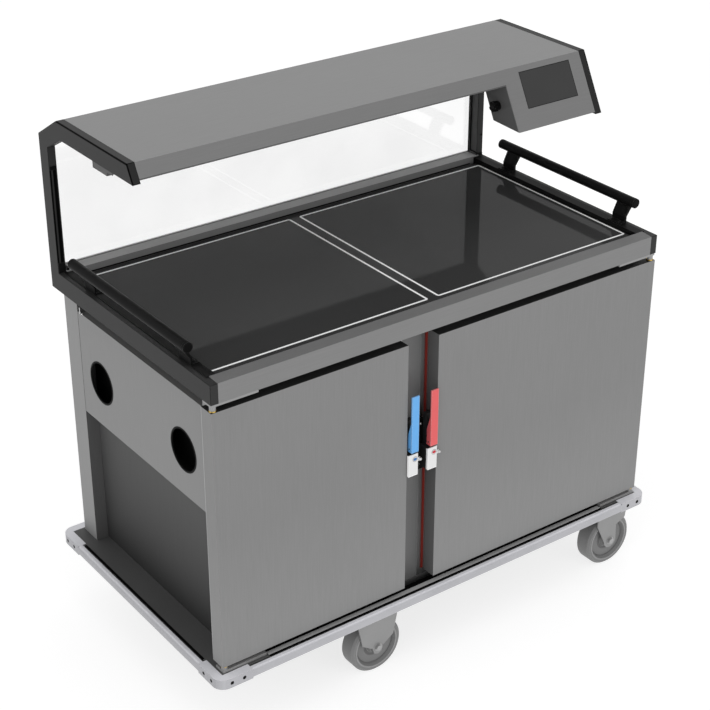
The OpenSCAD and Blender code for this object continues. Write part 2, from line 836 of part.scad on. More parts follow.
module rear_rail() color("gray") difference() {
    along_x(-frame_in, frame_in) polygon([[rear_rail_front + frame_sheet, deck_z],
        [rear_rail_front, deck_z], [rear_rail_front, ledge_z - frame_sheet],
        [rear_rail_front - rear_ledge_w, ledge_z - frame_sheet],
        [rear_rail_front - rear_ledge_w, ledge_z], [rear_rail_front, ledge_z],
        [rear_rail_front, rear_top], [screen_y - fit_gap, rear_top],
        [screen_y - fit_gap, groove_z], [screen_y + screen_t + fit_gap, groove_z],
        [screen_y + screen_t + fit_gap, rear_top], [body_rear, rear_top], [body_rear, deck_z],
        [body_rear - frame_sheet, deck_z], [body_rear - frame_sheet, rear_top - frame_sheet],
        [screen_y + screen_t + fit_gap + frame_sheet, rear_top - frame_sheet],
        [screen_y + screen_t + fit_gap + frame_sheet, groove_z - frame_sheet],
        [screen_y - fit_gap - frame_sheet, groove_z - frame_sheet],
        [screen_y - fit_gap - frame_sheet, rear_top - frame_sheet],
        [rear_rail_front + frame_sheet, rear_top - frame_sheet]]);
    ledge_cut(rear_rail_front - rear_ledge_w - overrun, rear_rail_front);
}
module side_rails() color("black") left_and_right() {
    along_y(-fascia_inner, rear_rail_front)
        polygon([[frame_in, deck_z], [frame_in, worktop_h], [cover_out, worktop_h],
            [cover_out, worktop_h + cover_t], [rail_inner, worktop_h + cover_t],
            [rail_inner, ledge_z], [rail_inner - ledge_w, ledge_z],
            [rail_inner - ledge_w, ledge_z - frame_sheet], [rail_inner, ledge_z - frame_sheet],
            [rail_inner, deck_z], [rail_inner + frame_sheet, deck_z],
            [rail_inner + frame_sheet, worktop_h - frame_sheet],
            [frame_in - frame_sheet, worktop_h - frame_sheet],
            [frame_in - frame_sheet, deck_z]]);
    block(frame_in, cover_out, rear_rail_front, post_in_y, worktop_h, worktop_h + cover_t);
}
module glass_top() color("black")
    block(-rail_inner + glass_gap, rail_inner - glass_gap, -fascia_inner + glass_gap,
        glass_rear, ledge_z, glass_z);
module heating_mats() color("goldenrod") left_and_right()
    block(mat_middle, rail_inner - ledge_w - mat_edge, -fascia_inner + ledge_w + mat_edge,
        glass_rear - ledge_w - mat_edge, ledge_z - mat_t, ledge_z);

// Handles: tubes with plugged ends on bowed straps
handle_z = worktop_h + handle_rise;
module handle_bars() color("black") left_and_right() difference() {
    rod_y(-handle_front, handle_back, handle_x, handle_z, handle_r);
    rod_y(-handle_front + handle_plug, handle_back - handle_plug, handle_x, handle_z,
        handle_r - handle_wall);
}
bracket_x = cover_out - bracket_t / 2;
bracket_low = worktop_h + cover_t;
module handle_brackets() color("black") left_and_right() difference() {
    for (y = bracket_ys) along_y(y - bracket_w / 2, y + bracket_w / 2)
        polygon([[cover_out, bracket_low], [cover_out, bracket_low + bracket_straight],
            [handle_x + bracket_t, handle_z - handle_r * saddle_share],
            [handle_x - bracket_t, handle_z - handle_r * saddle_share],
            [bracket_x - bracket_t / 2, bracket_low + bracket_straight],
            [bracket_x - bracket_t / 2, bracket_low + bracket_foot_t],
            [bracket_x - bracket_foot, bracket_low + bracket_foot_t],
            [bracket_x - bracket_foot, bracket_low]]);
    rod_y(-handle_front, handle_back, handle_x, handle_z, handle_r);
}

// Door hinges: plates with bosses on the frame and on the base, pins and flanged bushes
module hinge_plate(z0, z1, b0, b1) difference() {
    union() {
        block(half_len - hinge_plate_len, half_len - latch_plate_edge,
            -body_front + latch_plate_edge, -body_front + latch_plate_edge + hinge_plate_dep,
            z0, z1);
        rod_z(b0, b1, hinge_x, -hinge_y, hinge_boss_r);
    }
    rod_z(z0 - hinge_plate_t * 4, z1 + hinge_plate_t * 4, hinge_x, -hinge_y,
        hinge_pin_r + seat_play);
}
module hinge_brackets() color("silver") left_and_right() {
    hinge_plate(deck_z - hinge_plate_t, deck_z, door_z1 + bush_flange_t, deck_z);
    hinge_plate(base_top, base_top + hinge_plate_t, base_top, door_z0 - bush_flange_t);
}
module hinge_pins() color("silver") left_and_right() {
    rod_z(door_z1 - bush_len, deck_z, hinge_x, -hinge_y, hinge_pin_r);
    rod_z(base_top, door_z0 + bush_len, hinge_x, -hinge_y, hinge_pin_r);
}
module bush() difference() {
    union() {
        cylinder(r = hinge_bush_r, h = bush_len + bush_flange_t);
        translate([0, 0, bush_len]) cylinder(r = bush_flange_r, h = bush_flange_t);
    }
    translate([0, 0, -overrun])
        cylinder(r = hinge_pin_r + seat_play, h = bush_len + bush_flange_t + 2 * overrun);
}
module hinge_bushes() color("gold") left_and_right() {
    translate([hinge_x, -hinge_y, door_z1 - bush_len]) bush();
    translate([hinge_x, -hinge_y, door_z0 + bush_len]) mirror([0, 0, 1]) bush();
}

// Doors: a pan with hinge bosses, a liner that closes it and a seal round the opening
module door_shell(x0, x1, hx) difference() {
    union() {
        difference() {
            block(x0, x1, -body_front, -door_back - door_skin, door_z0, door_z1);
            block(x0 + door_skin, x1 - door_skin, -body_front + door_skin, -door_back + overrun,
                door_z0 + door_skin, door_z1 - door_skin);
        }
        rod_z(door_z0, door_z0 + boss_len, hx, -hinge_y, hinge_inset - door_skin / 2);
        rod_z(door_z1 - boss_len, door_z1, hx, -hinge_y, hinge_inset - door_skin / 2);
    }
    rod_z(door_z0 - overrun, door_z0 + bush_len + bush_bore_extra, hx, -hinge_y,
        hinge_bush_r + turn_play);
    rod_z(door_z1 - bush_len - bush_bore_extra, door_z1 + overrun, hx, -hinge_y,
        hinge_bush_r + turn_play);
}
module door_liner(x0, x1)
    block(x0, x1, -door_back - door_skin, -door_back, door_z0, door_z1);
module door_seal(x0, x1) difference() {
    block(x0, x1, -door_back, -door_back + seal_t, door_z0 + seal_edge, door_z1 - seal_edge);
    block(x0 + seal_w, x1 - seal_w, -door_back - overrun, -door_back + seal_t + overrun,
        door_z0 + seal_edge + seal_w, door_z1 - seal_edge - seal_w);
}
module cold_door_shell() color("gray") door_shell(-half_len, -cold_door_edge, -hinge_x);
module cold_door_liner() color("silver") door_liner(-half_len, -cold_door_edge);
module cold_door_seal() color("black")
    door_seal(-half_len + seal_side, -cold_door_edge - seal_edge);
module hot_door_shell() color("gray") door_shell(-hot_door_edge, half_len, hinge_x);
module hot_door_liner() color("silver") door_liner(-hot_door_edge, half_len);
module hot_door_seal() color("firebrick")
    door_seal(-hot_door_edge - hot_seal_out, half_len - seal_side);

// Latches: x is the left side of the latch plate, the pin lies along X in front of it
pin_y = -body_front;
pin_z = latch_z + latch_pin_z;
module latch_body(x, ear) {
    lever_x = x + latch_w - lever_w;
    block(x, x + latch_w, -body_front - latch_front, -body_front + latch_back, latch_z,
        latch_z + latch_h);
    block(lever_x + web_t, x + latch_w - web_t, -body_front + upright_front,
        -body_front + latch_back, latch_z + latch_h, latch_z + upright_h);
    if (ear > 0) block(x + latch_w, x + latch_w + ear, -body_front + latch_plate_edge,
        -body_front + latch_back, latch_z, latch_z + latch_h);
    rod_x(lever_x + web_t + fit_gap, x + latch_w - web_t - fit_gap, pin_y, pin_z, tongue_r);
    block(lever_x + web_t + fit_gap, x + latch_w - web_t - fit_gap, pin_y,
        -body_front + latch_back, pin_z - tongue_r, pin_z + tongue_r);
    rod_x(lever_x, x + latch_w, pin_y, pin_z, latch_pin_r);
    rod_y(-body_front - latch_front - dot_t, -body_front - latch_front, x + dot_x,
        latch_z + dot_z, dot_r);
    rod_x(x + latch_w, x + latch_w + stud_len, -body_front - stud_r - stud_front,
        latch_z + stud_z, stud_r);
}
module latch_lever(x) {
    lever_x = x + latch_w - lever_w;
    block(lever_x, x + latch_w, pin_y - lever_out, pin_y - lever_out + lever_t,
        pin_z - lever_low, pin_z - lever_low + lever_len);
    for (wx = [lever_x, x + latch_w - web_t]) difference() {
        along_x(wx, wx + web_t) polygon([[pin_y - lever_out, pin_z - lever_low],
            [pin_y - lever_out + lever_t + web_dep, pin_z - lever_low],
            [pin_y - lever_out + lever_t + web_dep, pin_z - lever_low + web_h - web_taper_h],
            [pin_y - lever_out + lever_t, pin_z - lever_low + web_h],
            [pin_y - lever_out, pin_z - lever_low + web_h]]);
        rod_x(wx - overrun, wx + web_t + overrun, pin_y, pin_z, latch_pin_r + turn_play);
    }
}
hot_latch_x = -hot_door_edge - latch_w - ear_w;
module cold_latch_body() color("whitesmoke") latch_body(-cold_door_edge, 0);
module cold_latch_lever() color("dodgerblue") latch_lever(-cold_door_edge);
module hot_latch_body() color("whitesmoke") latch_body(hot_latch_x, ear_w);
module hot_latch_lever() color("indianred") latch_lever(hot_latch_x);

// Inside the cabinets: angle runners, a cold plate and a tubular element
module runner_pair(x0, x1) for (i = [0 : tray_levels - 1]) {
    z = base_top + wall_t + runner_margin + i * (deck_z - frame_sheet - base_top - 2 * wall_t
        - 2 * runner_margin - cold_plate_t) / (tray_levels - 1);
    along_y(-cabinet_front + runner_front, body_rear - wall_t - runner_end) {
        polygon([[x0, z], [x0 + runner_w, z], [x0 + runner_w, z + runner_t],
            [x0 + runner_t, z + runner_t], [x0 + runner_t, z + runner_h], [x0, z + runner_h]]);
        polygon([[x1, z], [x1 - runner_w, z], [x1 - runner_w, z + runner_t],
            [x1 - runner_t, z + runner_t], [x1 - runner_t, z + runner_h], [x1, z + runner_h]]);
    }
}
module tray_runners() color("silver") {
    runner_pair(-cabinet_side + wall_t, -cold_right - wall_t);
    runner_pair(-hot_left + wall_t, cabinet_side - wall_t);
}
module cold_plate() color("lightblue")
    block(-cabinet_side + wall_t + cold_plate_inset, -cold_right - wall_t - cold_plate_inset,
        0, body_rear - wall_t - cold_plate_inset,
        deck_z - frame_sheet - wall_t - cold_plate_t, deck_z - frame_sheet - wall_t);
hot_mid_x = (cabinet_side - hot_left) / 2;
element_y = body_rear - wall_t - element_standoff;
module hot_element() color("darkgray") {
    for (s = [-1, 1]) {
        rod_x(hot_mid_x - element_reach, hot_mid_x + element_reach, element_y,
            base_top + wall_t + element_z + s * element_bend, element_r);
        rod_y(element_y, body_rear - wall_t, hot_mid_x + element_reach,
            base_top + wall_t + element_z + s * element_bend, element_r);
        rod_y(body_rear - wall_t - element_base_t, body_rear - wall_t, hot_mid_x + element_reach,
            base_top + wall_t + element_z + s * element_bend, element_base_r);
        translate([hot_mid_x + element_reach, element_y,
            base_top + wall_t + element_z + s * element_bend]) sphere(r = element_r);
    }
    translate([hot_mid_x - element_reach, element_y, base_top + wall_t + element_z])
        rotate([90, 90, 0]) rotate([0, 0, 180]) rotate_extrude(angle = 180)
            translate([element_bend, 0]) circle(r = element_r);
    block(hot_mid_x - element_reach - element_clip_t, hot_mid_x - element_reach, element_y,
        body_rear - wall_t, base_top + wall_t + element_z - element_bend - element_r,
        base_top + wall_t + element_z + element_bend + element_r);
}

// Power inlet on the rear panel
module power_inlet() color("black") {
    difference() {
        rod_y(body_rear, body_rear + inlet_t, inlet_x, inlet_z, inlet_r);
        rod_y(body_rear + inlet_t - inlet_cup_dep, body_rear + inlet_t + overrun, inlet_x,
            inlet_z, inlet_cup_r);
    }
    for (i = [0 : inlet_pins - 1])
        rod_y(body_rear + inlet_t - inlet_cup_dep - inlet_pin_seat, body_rear + inlet_t,
            inlet_x + inlet_pin_ring * cos(90 + i * 360 / inlet_pins),
            inlet_z + inlet_pin_ring * sin(90 + i * 360 / inlet_pins), inlet_pin_r);
}

// Casters: fixed forks on plates, swivel heads with kingpins, axles and wheels
fork_in = wheel_w / 2 + fork_gap;
fork_out = fork_in + fork_t;
module at_wheel(x, side) translate([x, side * wheel_y, 0]) children();
module fixed_fork() {
    block(-caster_plate_x / 2, caster_plate_x / 2, -caster_plate_y / 2, caster_plate_y / 2,
        base_under - caster_plate_t, base_under);
    for (y0 = [-fork_out, fork_in]) difference() {
        along_y(y0, y0 + fork_t) union() {
            polygon([[-leg_foot, wheel_r], [-leg_knee, leg_knee_z],
                [-leg_top, base_under - caster_plate_t], [leg_top, base_under - caster_plate_t],
                [leg_knee, leg_knee_z], [leg_foot, wheel_r], [leg_foot * foot_x_share,
                wheel_r - leg_foot_drop * foot_z_share], [0, wheel_r - leg_foot_drop],
                [-leg_foot * foot_x_share, wheel_r - leg_foot_drop * foot_z_share]]);
        }
        rod_y(y0 - overrun, y0 + fork_t + overrun, 0, wheel_r, axle_r + seat_play);
    }
}
module fixed_forks() color("lightgray") for (s = [-1, 1]) at_wheel(-fixed_axle_x, s)
    fixed_fork();
module axle() {
    rod_y(-fork_out - axle_head_t / 2, fork_out + axle_head_t / 2, 0, wheel_r, axle_r);
    rod_y(-fork_out - axle_head_t, -fork_out, 0, wheel_r, axle_head_r);
    rod_y(fork_out, fork_out + axle_head_t, 0, wheel_r, axle_head_r);
}
module fixed_axles() color("silver") for (s = [-1, 1]) at_wheel(-fixed_axle_x, s) axle();
module wheel() translate([0, 0, wheel_r]) rotate([-90, 0, 0]) rotate_extrude()
    polygon([[axle_r + turn_play, -wheel_w / 2], [hub_r, -wheel_w / 2],
        [hub_lip, -wheel_w / 2 + dish_dep], [rim_in - dish_dep / 2, -wheel_w / 2 + dish_dep],
        [rim_in, -wheel_w / 2 + rim_lip], [wheel_r - tread_round, -wheel_w / 2],
        [wheel_r, -wheel_w / 2 + tread_round], [wheel_r, wheel_w / 2 - tread_round],
        [wheel_r - tread_round, wheel_w / 2], [rim_in, wheel_w / 2 - rim_lip],
        [rim_in - dish_dep / 2, wheel_w / 2 - dish_dep], [hub_lip, wheel_w / 2 - dish_dep],
        [hub_r, wheel_w / 2], [axle_r + turn_play, wheel_w / 2]]);
module fixed_wheel_front() color("gray") at_wheel(-fixed_axle_x, -1) wheel();
module fixed_wheel_rear() color("gray") at_wheel(-fixed_axle_x, 1) wheel();

// Swivel head: plate, cup and kingpin on the base
plate_low = base_under - caster_plate_t - head_rise;
crown_top = plate_low - cup_h - fit_gap;
crown_low = crown_top - crown_t;
module swivel_plates() color("lightgray") for (s = [-1, 1]) at_wheel(swivel_x, s) {
    block(-swivel_plate_x / 2, swivel_plate_x / 2, -caster_plate_y / 2, caster_plate_y / 2,
        plate_low, base_under);
    rod_z(plate_low - cup_h, plate_low, 0, 0, cup_r);
    rod_z(crown_low - kingpin_head_t, plate_low, 0, 0, kingpin_r);
    rod_z(crown_low - fit_gap - kingpin_head_t, crown_low - fit_gap, 0, 0, kingpin_head_r);
}
module swivel_fork() difference() {
    union() {
        block(-swivel_trail - swivel_back, -swivel_trail + swivel_front, -fork_out, fork_out,
            crown_low, crown_top);
        for (y0 = [-fork_out, fork_in]) along_y(y0, y0 + fork_t) translate([-swivel_trail, 0]) {
            polygon([[-swivel_foot, wheel_r], [-swivel_back, swivel_knee_z],
                [-swivel_back, crown_low], [swivel_front, crown_low],
                [swivel_front_low, swivel_knee_z], [swivel_waist, swivel_waist_z],
                [swivel_foot, wheel_r]]);
            translate([0, wheel_r]) circle(r = swivel_foot);
        }
    }
    rod_z(crown_low - overrun, crown_top + overrun, 0, 0, kingpin_r + turn_play);
    rod_y(-fork_out - overrun, fork_out + overrun, -swivel_trail, wheel_r, axle_r + seat_play);
}
module swivel_fork_front() color("lightgray") at_wheel(swivel_x, -1) swivel_fork();
module swivel_fork_rear() color("lightgray") at_wheel(swivel_x, 1) swivel_fork();
module swivel_axle_front() color("silver") at_wheel(swivel_x - swivel_trail, -1) axle();
module swivel_axle_rear() color("silver") at_wheel(swivel_x - swivel_trail, 1) axle();
module swivel_wheel_front() color("gray") at_wheel(swivel_x - swivel_trail, -1) wheel();
module swivel_wheel_rear() color("gray") at_wheel(swivel_x - swivel_trail, 1) wheel();

base_plate();
bumper_corners();
bumper_rails();
cover_screws();
cold_cabinet();
cold_liner();
hot_cabinet();
hot_liner();
corner_posts();
left_side_panel();
right_side_panel();
rear_panel();
centre_post();
latch_strike();
side_frame_left();
side_frame_right();
canopy_shell();
canopy_lining();
heat_lamps();
lamp_housings();
control_box();
display_panel();
glass_screen();
screen_tracks();
front_fascia();
rear_rail();
side_rails();
glass_top();
heating_mats();
handle_bars();
handle_brackets();
hinge_brackets();
hinge_pins();
hinge_bushes();
tray_runners();
cold_plate();
hot_element();
power_inlet();
fixed_forks();
swivel_plates();
fixed_axles();
cold_door_shell();
cold_door_liner();
cold_door_seal();
hot_door_shell();
hot_door_liner();
hot_door_seal();
cold_latch_body();
cold_latch_lever();
hot_latch_body();
hot_latch_lever();
control_knob();
fixed_wheel_front();
fixed_wheel_rear();
swivel_wheel_front();
swivel_wheel_rear();
swivel_fork_front();
swivel_fork_rear();
swivel_axle_front();
swivel_axle_rear();
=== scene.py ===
"""Looks of the meal delivery trolley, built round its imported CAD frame."""

import math

import bmesh
import bpy
from mathutils import Matrix, Vector


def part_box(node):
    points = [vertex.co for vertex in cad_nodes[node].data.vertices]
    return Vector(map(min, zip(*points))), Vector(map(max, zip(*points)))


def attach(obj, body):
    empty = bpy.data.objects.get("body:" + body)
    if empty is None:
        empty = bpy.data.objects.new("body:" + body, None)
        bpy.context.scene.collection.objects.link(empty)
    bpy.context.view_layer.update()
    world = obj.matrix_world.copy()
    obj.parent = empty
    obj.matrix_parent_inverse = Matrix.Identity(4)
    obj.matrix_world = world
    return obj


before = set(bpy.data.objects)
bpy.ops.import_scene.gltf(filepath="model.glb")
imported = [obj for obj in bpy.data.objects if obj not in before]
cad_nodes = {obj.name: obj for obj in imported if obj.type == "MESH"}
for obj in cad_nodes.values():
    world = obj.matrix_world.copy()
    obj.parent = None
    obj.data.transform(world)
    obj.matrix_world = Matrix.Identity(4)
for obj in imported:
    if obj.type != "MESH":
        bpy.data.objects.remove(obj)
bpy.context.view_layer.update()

MM = 0.001
SIDES = (("left", -1), ("right", 1))

# Camera of the photograph: place, turn about Z, height above the horizon and lens
CAMERA_AT = Vector((-2.3893, -3.2531, 2.8919))
CAMERA_AZIMUTH = math.radians(-36.13)
CAMERA_ELEVATION = math.radians(28.17)
CAMERA_LENS = 85.94
SENSOR_WIDTH = 36
CLIP_NEAR = 0.1
CLIP_FAR = 60

scene = bpy.context.scene
scene.view_settings.view_transform = "Standard"
camera_data = bpy.data.cameras.new("camera")
camera_data.lens = CAMERA_LENS
camera_data.sensor_width = SENSOR_WIDTH
camera_data.clip_start = CLIP_NEAR
camera_data.clip_end = CLIP_FAR
camera = bpy.data.objects.new("camera", camera_data)
back = Vector((
    math.sin(CAMERA_AZIMUTH) * math.cos(CAMERA_ELEVATION),
    -math.cos(CAMERA_AZIMUTH) * math.cos(CAMERA_ELEVATION),
    math.sin(CAMERA_ELEVATION),
))
camera.location = CAMERA_AT
camera.rotation_mode = "QUATERNION"
camera.rotation_quaternion = (-back).to_track_quat("-Z", "Y")
scene.collection.objects.link(camera)
scene.camera = camera


def linear(value):
    """A channel of 0 to 255 as a linear share, by the sRGB curve."""
    share = value / 255
    if share <= 0.04045:
        return share / 12.92
    return ((share + 0.055) / 1.055) ** 2.4


def colour(rgb):
    """Three channels, or one for a grey, as a linear colour with alpha."""
    if isinstance(rgb, (int, float)):
        rgb = (rgb, rgb, rgb)
    return tuple(linear(v) for v in rgb) + (1.0,)


# Light: an even world, and a white background for the camera, for metal and for glass
AMBIENT_STRENGTH = 0.66
BACKDROP_STRENGTH = 1.0
WHITE = (1, 1, 1, 1)
world = bpy.data.worlds.new("studio")
scene.world = world
world.use_nodes = True
tree = world.node_tree
tree.nodes.clear()
light_path = tree.nodes.new("ShaderNodeLightPath")
ambient = tree.nodes.new("ShaderNodeBackground")
ambient.inputs["Color"].default_value = WHITE
ambient.inputs["Strength"].default_value = AMBIENT_STRENGTH
backdrop = tree.nodes.new("ShaderNodeBackground")
backdrop.inputs["Color"].default_value = WHITE
backdrop.inputs["Strength"].default_value = BACKDROP_STRENGTH
seen = tree.nodes.new("ShaderNodeMath")
seen.operation = "MAXIMUM"
seen_any = tree.nodes.new("ShaderNodeMath")
seen_any.operation = "MAXIMUM"
tree.links.new(light_path.outputs["Is Camera Ray"], seen.inputs[0])
tree.links.new(light_path.outputs["Is Glossy Ray"], seen.inputs[1])
tree.links.new(seen.outputs[0], seen_any.inputs[0])
tree.links.new(light_path.outputs["Is Transmission Ray"], seen_any.inputs[1])
world_mix = tree.nodes.new("ShaderNodeMixShader")
tree.links.new(seen_any.outputs[0], world_mix.inputs[0])
tree.links.new(ambient.outputs[0], world_mix.inputs[1])
tree.links.new(backdrop.outputs[0], world_mix.inputs[2])
world_out = tree.nodes.new("ShaderNodeOutputWorld")
tree.links.new(world_mix.outputs[0], world_out.inputs["Surface"])


def soft_lamp(name, place, aim, size, watts):
    """A square lamp that looks from its place at a point, unseen in reflections."""
    data = bpy.data.lights.new(name, "AREA")
    data.shape = "SQUARE"
    data.size = size
    data.energy = watts
    lamp = bpy.data.objects.new(name, data)
    lamp.location = place
    lamp.rotation_mode = "QUATERNION"
    lamp.rotation_quaternion = (Vector(aim) - Vector(place)).to_track_quat("-Z", "Y")
    scene.collection.objects.link(lamp)
    lamp.visible_glossy = False


# Three soft lamps: place, aim, size of the square and watts
soft_lamp("lamp_top", (-0.6, -0.8, 5.2), (0, 0, 0.8), 4.0, 34)
soft_lamp("lamp_left", (-5.0, -2.2, 2.4), (0, 0, 0.7), 3.0, 30)
soft_lamp("lamp_front", (1.2, -5.6, 2.2), (0, 0, 0.7), 3.0, 44)

# The canopy's slanted front: its lean from the upright, and the direction that it faces, along
# which the finishes paint shade on faces that slant the same way
CANOPY_LEAN = math.atan(0.533)
FRONT_SLOPE = (0, -0.8825, 0.4704)

# Ranges of the ramps in the finishes: a noise, a facing towards a direction or towards the
# slanted front for painted light and shade, a height in m for painted light and shade near the
# floor, the turn at an edge for its painted highlight or dark edge, and the painted shade past a
# depth
NOISE_RANGE = (0.25, 0.75)
TURN_RANGE = (0.45, 0.95)
SLOPE_RANGE = (0.97, 0.99)
LOW_RANGE = (0.24, 0.62)
EDGE_RANGE = (1.0, 0.8)
SHADE_BEHIND_LENGTH = 1
SHADE_BEHIND_SHARE = 0.03
FINE_DETAIL = 3
BROAD_DETAIL = 4
EDGE_SAMPLES = 4

finishes = {}


def scaled(tree, source, factor):
    """The colour of a socket times a factor from another socket."""
    product = tree.nodes.new("ShaderNodeVectorMath")
    product.operation = "SCALE"
    tree.links.new(source, product.inputs[0])
    tree.links.new(factor, product.inputs["Scale"])
    return product.outputs[0]


def ramp(tree, source, limits, first, last):
    """A value that goes from first to last as the source goes through its limits."""
    made = tree.nodes.new("ShaderNodeMapRange")
    made.inputs["From Min"].default_value = limits[0]
    made.inputs["From Max"].default_value = limits[1]
    made.inputs["To Min"].default_value = first
    made.inputs["To Max"].default_value = last
    tree.links.new(source, made.inputs["Value"])
    return made.outputs[0]


def around_one(tree, source, share):
    """A noise as a factor that strays from one by a share."""
    return ramp(tree, source, NOISE_RANGE, 1 - share, 1 + share)


def facing(tree, normal, direction):
    """How far a normal looks in a fixed direction."""
    made = tree.nodes.new("ShaderNodeVectorMath")
    made.operation = "DOT_PRODUCT"
    made.inputs[1].default_value = direction
    tree.links.new(normal, made.inputs[0])
    return made.outputs["Value"]


def part_of(tree, place, axis):
    """One coordinate of a place."""
    made = tree.nodes.new("ShaderNodeSeparateXYZ")
    tree.links.new(place, made.inputs[0])
    return made.outputs[axis]


def noise(tree, place, scale, detail):
    """A noise texture over a place."""
    made = tree.nodes.new("ShaderNodeTexNoise")
    made.inputs["Scale"].default_value = scale
    made.inputs["Detail"].default_value = detail
    tree.links.new(place, made.inputs["Vector"])
    return made.outputs[0]


def material(name, rgb, rough, metal=0.0, fine=900, fine_share=0.05, stretch=(1, 1, 1),
             broad=5, broad_share=0.04, rough_share=0.08, bump=0.2, depth=0.15, edge=0.0,
             painted_edge_share=0.0, painted_edge_tone=255, slope_shade_share=1.0, floor_light_shade_share=1.0, ior=1.5, turned=(),
             behind=None):
    """A finish whose colour, roughness and relief come from a fine and a broad noise, with painted
    light and shade on top, kept in finishes under its name.

    stretch squeezes the fine noise along the grain. edge is the radius in mm of the edges rounded
    in shading, and painted_edge_share is how far the edges go towards painted_edge_tone: a painted
    highlight, and with a dark tone a painted dark edge. slope_shade_share scales the tone of faces
    that slant as the canopy's front does, a painted shade, and floor_light_shade_share the tone
    near
    the floor: painted light from the floor where above one, painted shade where below. turned
    gives directions and the shares of the tone on faces that look that way, painted light and
    shade by facing. behind is the depth in mm along y past which the piece is black, a painted
    shade."""
    made = bpy.data.materials.new(name)
    made.use_nodes = True
    tree = made.node_tree
    shader = tree.nodes["Principled BSDF"]
    place = tree.nodes.new("ShaderNodeTexCoord")
    at = place.outputs["Object"]
    looks = place.outputs["Normal"]
    mapping = tree.nodes.new("ShaderNodeMapping")
    mapping.inputs["Scale"].default_value = stretch
    tree.links.new(at, mapping.inputs["Vector"])
    fine_noise = noise(tree, mapping.outputs[0], fine, FINE_DETAIL)
    broad_noise = noise(tree, at, broad, BROAD_DETAIL)

    both = tree.nodes.new("ShaderNodeMath")
    both.operation = "MULTIPLY"
    tree.links.new(around_one(tree, fine_noise, fine_share), both.inputs[0])
    tree.links.new(around_one(tree, broad_noise, broad_share), both.inputs[1])
    tint = tree.nodes.new("ShaderNodeVectorMath")
    tint.operation = "SCALE"
    tint.inputs[0].default_value = colour(rgb)[:3]
    tree.links.new(both.outputs[0], tint.inputs["Scale"])
    painted = tint.outputs[0]
    # Painted shade on faces that slant as the canopy's front does
    if slope_shade_share != 1.0:
        slant = ramp(tree, facing(tree, looks, FRONT_SLOPE), SLOPE_RANGE, 1.0, slope_shade_share)
        painted = scaled(tree, painted, slant)
    # Painted light and shade: the tone of faces that look in given directions scaled up or down
    for direction, share in turned:
        turn = ramp(tree, facing(tree, looks, direction), TURN_RANGE, 1.0, share)
        painted = scaled(tree, painted, turn)
    # Painted light from the floor, or painted shade, by the share: the tone scaled towards the
    # bottom
    if floor_light_shade_share != 1.0:
        lower = ramp(tree, part_of(tree, at, "Z"), LOW_RANGE, floor_light_shade_share, 1.0)
        painted = scaled(tree, painted, lower)
    if edge:
        bevel = tree.nodes.new("ShaderNodeBevel")
        bevel.samples = EDGE_SAMPLES
        bevel.inputs["Radius"].default_value = edge * MM
    # Painted highlight on the edges, a painted dark edge when the tone is dark: the colour mixed
    # towards a tone where the bevel turns
    if edge and painted_edge_share:
        plain = tree.nodes.new("ShaderNodeNewGeometry")
        turn = tree.nodes.new("ShaderNodeVectorMath")
        turn.operation = "DOT_PRODUCT"
        tree.links.new(bevel.outputs[0], turn.inputs[0])
        tree.links.new(plain.outputs["Normal"], turn.inputs[1])
        painted_edge_mask = ramp(tree, turn.outputs["Value"], EDGE_RANGE, 0.0, painted_edge_share)
        painted_edge_mix = tree.nodes.new("ShaderNodeMix")
        painted_edge_mix.data_type = "RGBA"
        painted_edge_mix.inputs["B"].default_value = colour(painted_edge_tone)
        tree.links.new(painted_edge_mask, painted_edge_mix.inputs["Factor"])
        tree.links.new(painted, painted_edge_mix.inputs["A"])
        painted = painted_edge_mix.outputs["Result"]
    # Painted shade: the piece turns black past a depth along y
    if behind is not None:
        limits = (behind * MM, (behind + SHADE_BEHIND_LENGTH) * MM)
        shade_depths = ramp(tree, part_of(tree, at, "Y"), limits, 1.0, SHADE_BEHIND_SHARE)
        painted = scaled(tree, painted, shade_depths)
    tree.links.new(painted, shader.inputs["Base Color"])
    roughness = tree.nodes.new("ShaderNodeMath")
    roughness.operation = "MULTIPLY"
    roughness.inputs[1].default_value = rough
    tree.links.new(around_one(tree, broad_noise, rough_share), roughness.inputs[0])
    tree.links.new(roughness.outputs[0], shader.inputs["Roughness"])
    relief = tree.nodes.new("ShaderNodeBump")
    relief.inputs["Strength"].default_value = bump
    relief.inputs["Distance"].default_value = depth * MM
    tree.links.new(fine_noise, relief.inputs["Height"])
    if edge:
        tree.links.new(bevel.outputs[0], relief.inputs["Normal"])
    tree.links.new(relief.outputs[0], shader.inputs["Normal"])
    shader.inputs["Metallic"].default_value = metal
    shader.inputs["IOR"].default_value = ior
    finishes[name] = made
    return made


def glass(name, rgb, rough):
    """A clear finish with the same noises, hardly seen."""
    made = material(name, rgb, rough, fine=300, fine_share=0.01, bump=0.02, rough_share=0.2)
    made.node_tree.nodes["Principled BSDF"].inputs["Transmission Weight"].default_value = 1.0


GRAIN_UP = (1, 1, 0.02)
GRAIN_ACROSS = (0.02, 1, 1)
LEFT = (-1, 0, 0)
RIGHT = (1, 0, 0)
FRONT = (0, -1, 0)
REAR = (0, 1, 0)
UP = (0, 0, 1)
DOWN = (0, 0, -1)

# Values that several finishes share
coated_up = {"fine": 700, "fine_share": 0.05, "stretch": GRAIN_UP, "broad": 3}
coated_across = {"fine": 700, "fine_share": 0.05, "stretch": GRAIN_ACROSS}
# Doors: painted light from the floor, lighter towards the bottom, and a painted highlight on the
# edges
door_coat_floor_light = dict(coated_up, broad_share=0.02, floor_light_shade_share=1.14, edge=1.4, painted_edge_share=0.16, ior=1.3)
panel_coat = dict(coated_up, broad_share=0.03, edge=1.2, painted_edge_share=0.08, ior=1.3)
